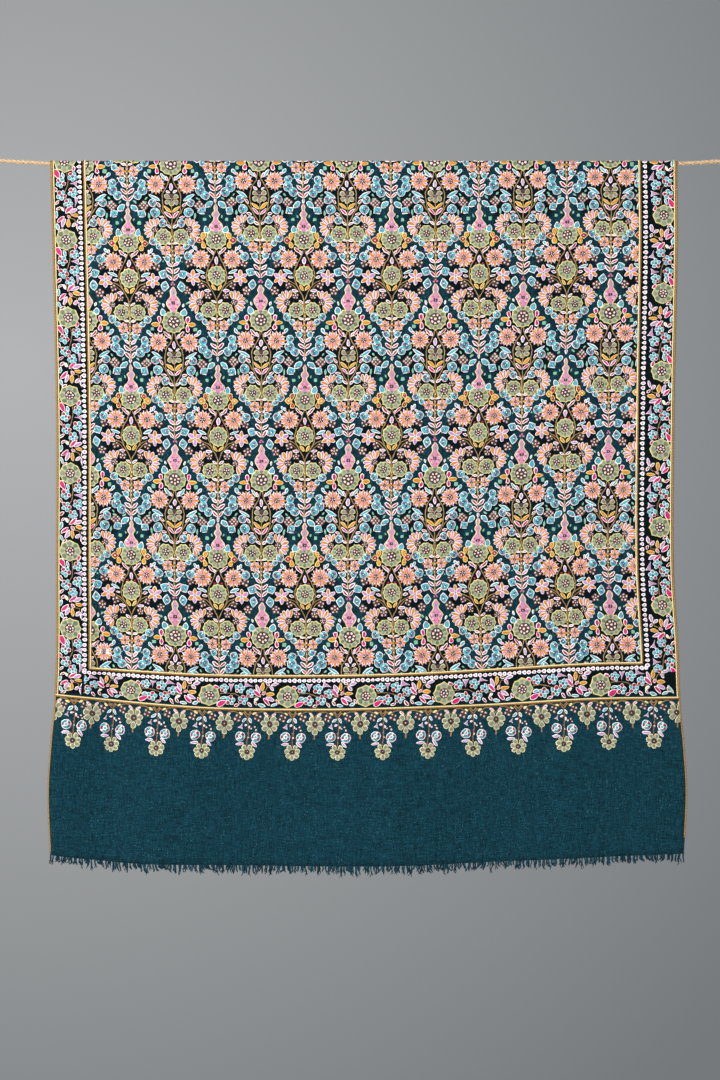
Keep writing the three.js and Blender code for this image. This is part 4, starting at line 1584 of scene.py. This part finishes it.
def rope_material(name, colour, shade, stripe):
    """Couched cord: diagonal stripes of its twist over spun fibre, with painted shade in the grooves between
    the turns.
    """
    material = fibre_material(name, colour, shade, 0.5, 0.0, 0.15, 0.55, 0.4)
    tree = material.node_tree
    shader = tree.nodes["Principled BSDF"]
    place = add_node(tree, "ShaderNodeTexCoord")
    twist = add_node(
        tree,
        "ShaderNodeTexWave",
        bands_direction="DIAGONAL",
        inputs={"Scale": bands_at_1_mm / stripe, "Distortion": 0.8},
    )
    tree.links.new(place.outputs["Object"], twist.inputs["Vector"])
    # Painted shade: the cord turns towards its shade colour where the twist relief is low, in its grooves.
    groove_shade = add_node(
        tree,
        "ShaderNodeMapRange",
        inputs={"From Min": 0.15, "From Max": 0.6, "To Min": 0.45, "To Max": 0.0},
    )
    tree.links.new(twist.outputs["Fac"], groove_shade.inputs["Value"])
    mix = add_node(tree, "ShaderNodeMix", data_type="RGBA", inputs={"B": shade})
    fibre = next(node for node in tree.nodes if node.type == "GROUP")
    tree.links.new(groove_shade.outputs["Result"], mix.inputs["Factor"])
    tree.links.new(fibre.outputs["Colour"], mix.inputs["A"])
    tree.links.new(mix.outputs["Result"], shader.inputs["Base Color"])
    relief = next(node for node in tree.nodes if node.type == "BUMP")
    coil = add_node(tree, "ShaderNodeBump", inputs={"Distance": 0.4 * MM})
    tree.links.new(twist.outputs["Fac"], coil.inputs["Height"])
    tree.links.new(relief.outputs["Normal"], coil.inputs["Normal"])
    tree.links.new(coil.outputs["Normal"], shader.inputs["Normal"])
    return material


dark_cord = rope_material("dark gold cord", linear(158, 112, 46), linear(78, 50, 20), 2.6)
edge_cord = rope_material("gold overcasting", linear(192, 150, 82), linear(108, 76, 36), 2.2)
pale_cord = rope_material("pale gold cord", linear(246, 232, 176), linear(206, 176, 106), 2.4)

half_gap = line_cord_gap / 2
frame_line = field_corners()
hem_lines = [[(1, along), (cloth_width - 1, along)] for along in (hem_line, cloth_length - hem_line)]
dark_line = make_object(
    "dark_gold_lines",
    *joined(
        [cord_on_cloth(frame_line, line_cord_radius, -half_gap)]
        + [cord_on_cloth(line, line_cord_radius, side * half_gap) for line, side in zip(hem_lines, (-1, 1))]
    ),
    dark_cord,
)
pale_line = make_object(
    "pale_gold_lines",
    *joined(
        [cord_on_cloth(frame_line, line_cord_radius, half_gap)]
        + [cord_on_cloth(line, line_cord_radius, -side * half_gap) for line, side in zip(hem_lines, (-1, 1))]
    ),
    pale_cord,
)
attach(dark_line, "root")
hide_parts("field_cord_front", "field_cord_back", "hem_cord_front", "hem_cord_back")
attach(pale_line, "root")


# The selvedge edging
# Gold thread is overcast round both selvedges in close slanting stitches, with a pale line beside it on the
# embroidered part. The right one starts a little above the front hem.
edging_end = cloth_length - 4
edging_inset = 1.1
edging_radius = 0.95
pale_inset = 3.9
pale_radius = 1.0
overcast_pitch = 2.7
slant = 0.9
over_edge = 1.25


def overcast(across, outward, start):
    """Slanting stitches that wrap the selvedge from one face to the other, shorter along the plain ends."""
    parts = []
    for along in np.arange(start, edging_end, overcast_pitch):
        plain = min(along, cloth_length - along) < hem_line
        reach, radius = (1.8, 0.65) if plain else (2.9, 0.9)
        run = np.array([along - slant, along, along + slant])
        inward = np.array([reach, 0.0, reach])
        lifts = np.array([cloth_thickness / 2 + 0.25, 0.1, -cloth_thickness / 2 - 0.2])
        stitch = off_cloth(np.clip(across - outward * inward, 0, cloth_width), run, lifts)
        stitch[1, 0] += outward * over_edge
        parts.append(tube(stitch, radius, 4))
    return joined(parts)


edging_parts = []
pale_parts = []
for across, outward, start in (
    # selvedge, the way out from it, where the edging starts above the front hem
    (0, -1, 4),
    (cloth_width, 1, 28),
):
    edge = across - outward * edging_inset
    pale = across - outward * pale_inset
    pale_ends = [(pale, hem_line), (pale, cloth_length - hem_line)]
    edging_parts.append(overcast(across, outward, start))
    edging_parts.append(cord_on_cloth([(edge, start), (edge, edging_end)], edging_radius, 0, 5.0, 5))
    pale_parts.append(cord_on_cloth(pale_ends, pale_radius, 0, 5.0, 5))
edging = make_object("overcast_edging", *joined(edging_parts), edge_cord)
pale_edging = make_object("pale_edging", *joined(pale_parts), pale_cord)
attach(edging, "root")
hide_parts("edging_left", "edging_right")
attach(pale_edging, "root")


# The fringe
# The warp ends are left loose below each hem and cling together in uneven, curling locks.
fringe_locks = 250
fringe_length = 18
strand_radii = [1.0, 0.95, 0.45]


def fringe(along, seed):
    """All the locks of one hem, each of two or three strands that part at the root and meet lower down."""
    chance = np.random.default_rng(seed)
    parts = []
    lean = 0.0
    for lock in range(fringe_locks):
        across = (lock + 0.5 + chance.uniform(-0.3, 0.3)) * cloth_width / fringe_locks
        root = off_cloth(across, along, 0.0)
        lean = 0.8 * lean + chance.uniform(-2.0, 2.0)
        lock_length = fringe_length * chance.uniform(0.5, 1.05)
        bend = chance.uniform(1.0, 2.8)
        for _ in range(chance.integers(2, 4)):
            spread = chance.uniform(-1.7, 1.7)
            length = lock_length * chance.uniform(0.8, 1.08)
            steps = np.linspace(0, 1, 7)
            wave = bend * np.sin(steps * chance.uniform(4, 8) + chance.uniform(0, 6)) * steps
            x = root[0] + spread * (1 - 0.7 * steps) + lean * steps**1.4 + wave
            y = root[1] + chance.uniform(-0.5, 0.5) + chance.uniform(-2, 2) * steps
            z = root[2] + 0.8 - length * steps * (1 - 0.08 * abs(lean) * steps)
            radius = np.interp(steps, [0, 0.6, 1], strand_radii) * chance.uniform(0.8, 1.2)
            parts.append(tube(np.stack([x, y, z], axis=1), radius, 4))
    return joined(parts)


fringe_wool = fibre_material("fringe wool", linear(34, 84, 98), linear(9, 36, 46), 0.6, 0.8, 0.2)
for along, node, seed in ((0, "fringe_front", 3), (cloth_length, "fringe_back", 11)):
    piece = make_object(f"{node}_locks", *fringe(along, seed), fringe_wool)
    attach(piece, "root")
    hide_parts(node)


# The studio
# A plain pale floor below, and soft light from large lamps in front, with a pale grey room behind.
def add_lamp(name, place, aim, size, power):
    data = bpy.data.lights.new(name, "AREA")
    data.size = size
    data.energy = power
    lamp = bpy.data.objects.new(name, data)
    lamp.location = place
    lamp.rotation_euler = (Vector(aim) - Vector(place)).to_track_quat("-Z", "Y").to_euler()
    bpy.context.scene.collection.objects.link(lamp)


# Places, sizes and powers of the lamps and the floor are in metres and watts
shawl_middle = (0, 0, -0.55)
add_lamp("key", (-2.2, -3.2, 1.0), shawl_middle, 1.8, 228)
add_lamp("fill", (2.4, -3.0, 0.2), shawl_middle, 2.6, 60)
add_lamp("back", (1.2, 3.4, 1.0), shawl_middle, 2.4, 120)

floor_mesh = bpy.data.meshes.new("floor")
floor_height = -1.75
floor_corners = [(x, y, floor_height) for x, y in ((-2, -2.6), (2, -2.6), (2, 1.5), (-2, 1.5))]
floor_mesh.from_pydata(floor_corners, [], [(0, 1, 2, 3)])
floor = bpy.data.objects.new("floor", floor_mesh)
bpy.context.scene.collection.objects.link(floor)
floor_paint, _, floor_shader = new_material("floor", 0.9)
floor_shader.inputs["Base Color"].default_value = linear(205, 206, 208)
floor_mesh.materials.append(floor_paint)

world = bpy.data.worlds.new("room")
world.use_nodes = True
room = world.node_tree
glow_place = add_node(room, "ShaderNodeTexCoord")
glow_distance = add_node(
    room,
    "ShaderNodeVectorMath",
    operation="DISTANCE",
    inputs={1: (-0.11, 0.99, 0.055)},
)
room.links.new(glow_place.outputs["Generated"], glow_distance.inputs[0])
glow_fade = add_node(room, "ShaderNodeMapRange", inputs={"From Max": 0.305})
room.links.new(glow_distance.outputs["Value"], glow_fade.inputs["Value"])
glow = add_node(
    room,
    "ShaderNodeMix",
    data_type="RGBA",
    inputs={"A": (0.455, 0.465, 0.472, 1), "B": (0.178, 0.19, 0.199, 1)},
)
room.links.new(glow_fade.outputs["Result"], glow.inputs["Factor"])
room.links.new(glow.outputs["Result"], room.nodes["Background"].inputs["Color"])
bpy.context.scene.world = world
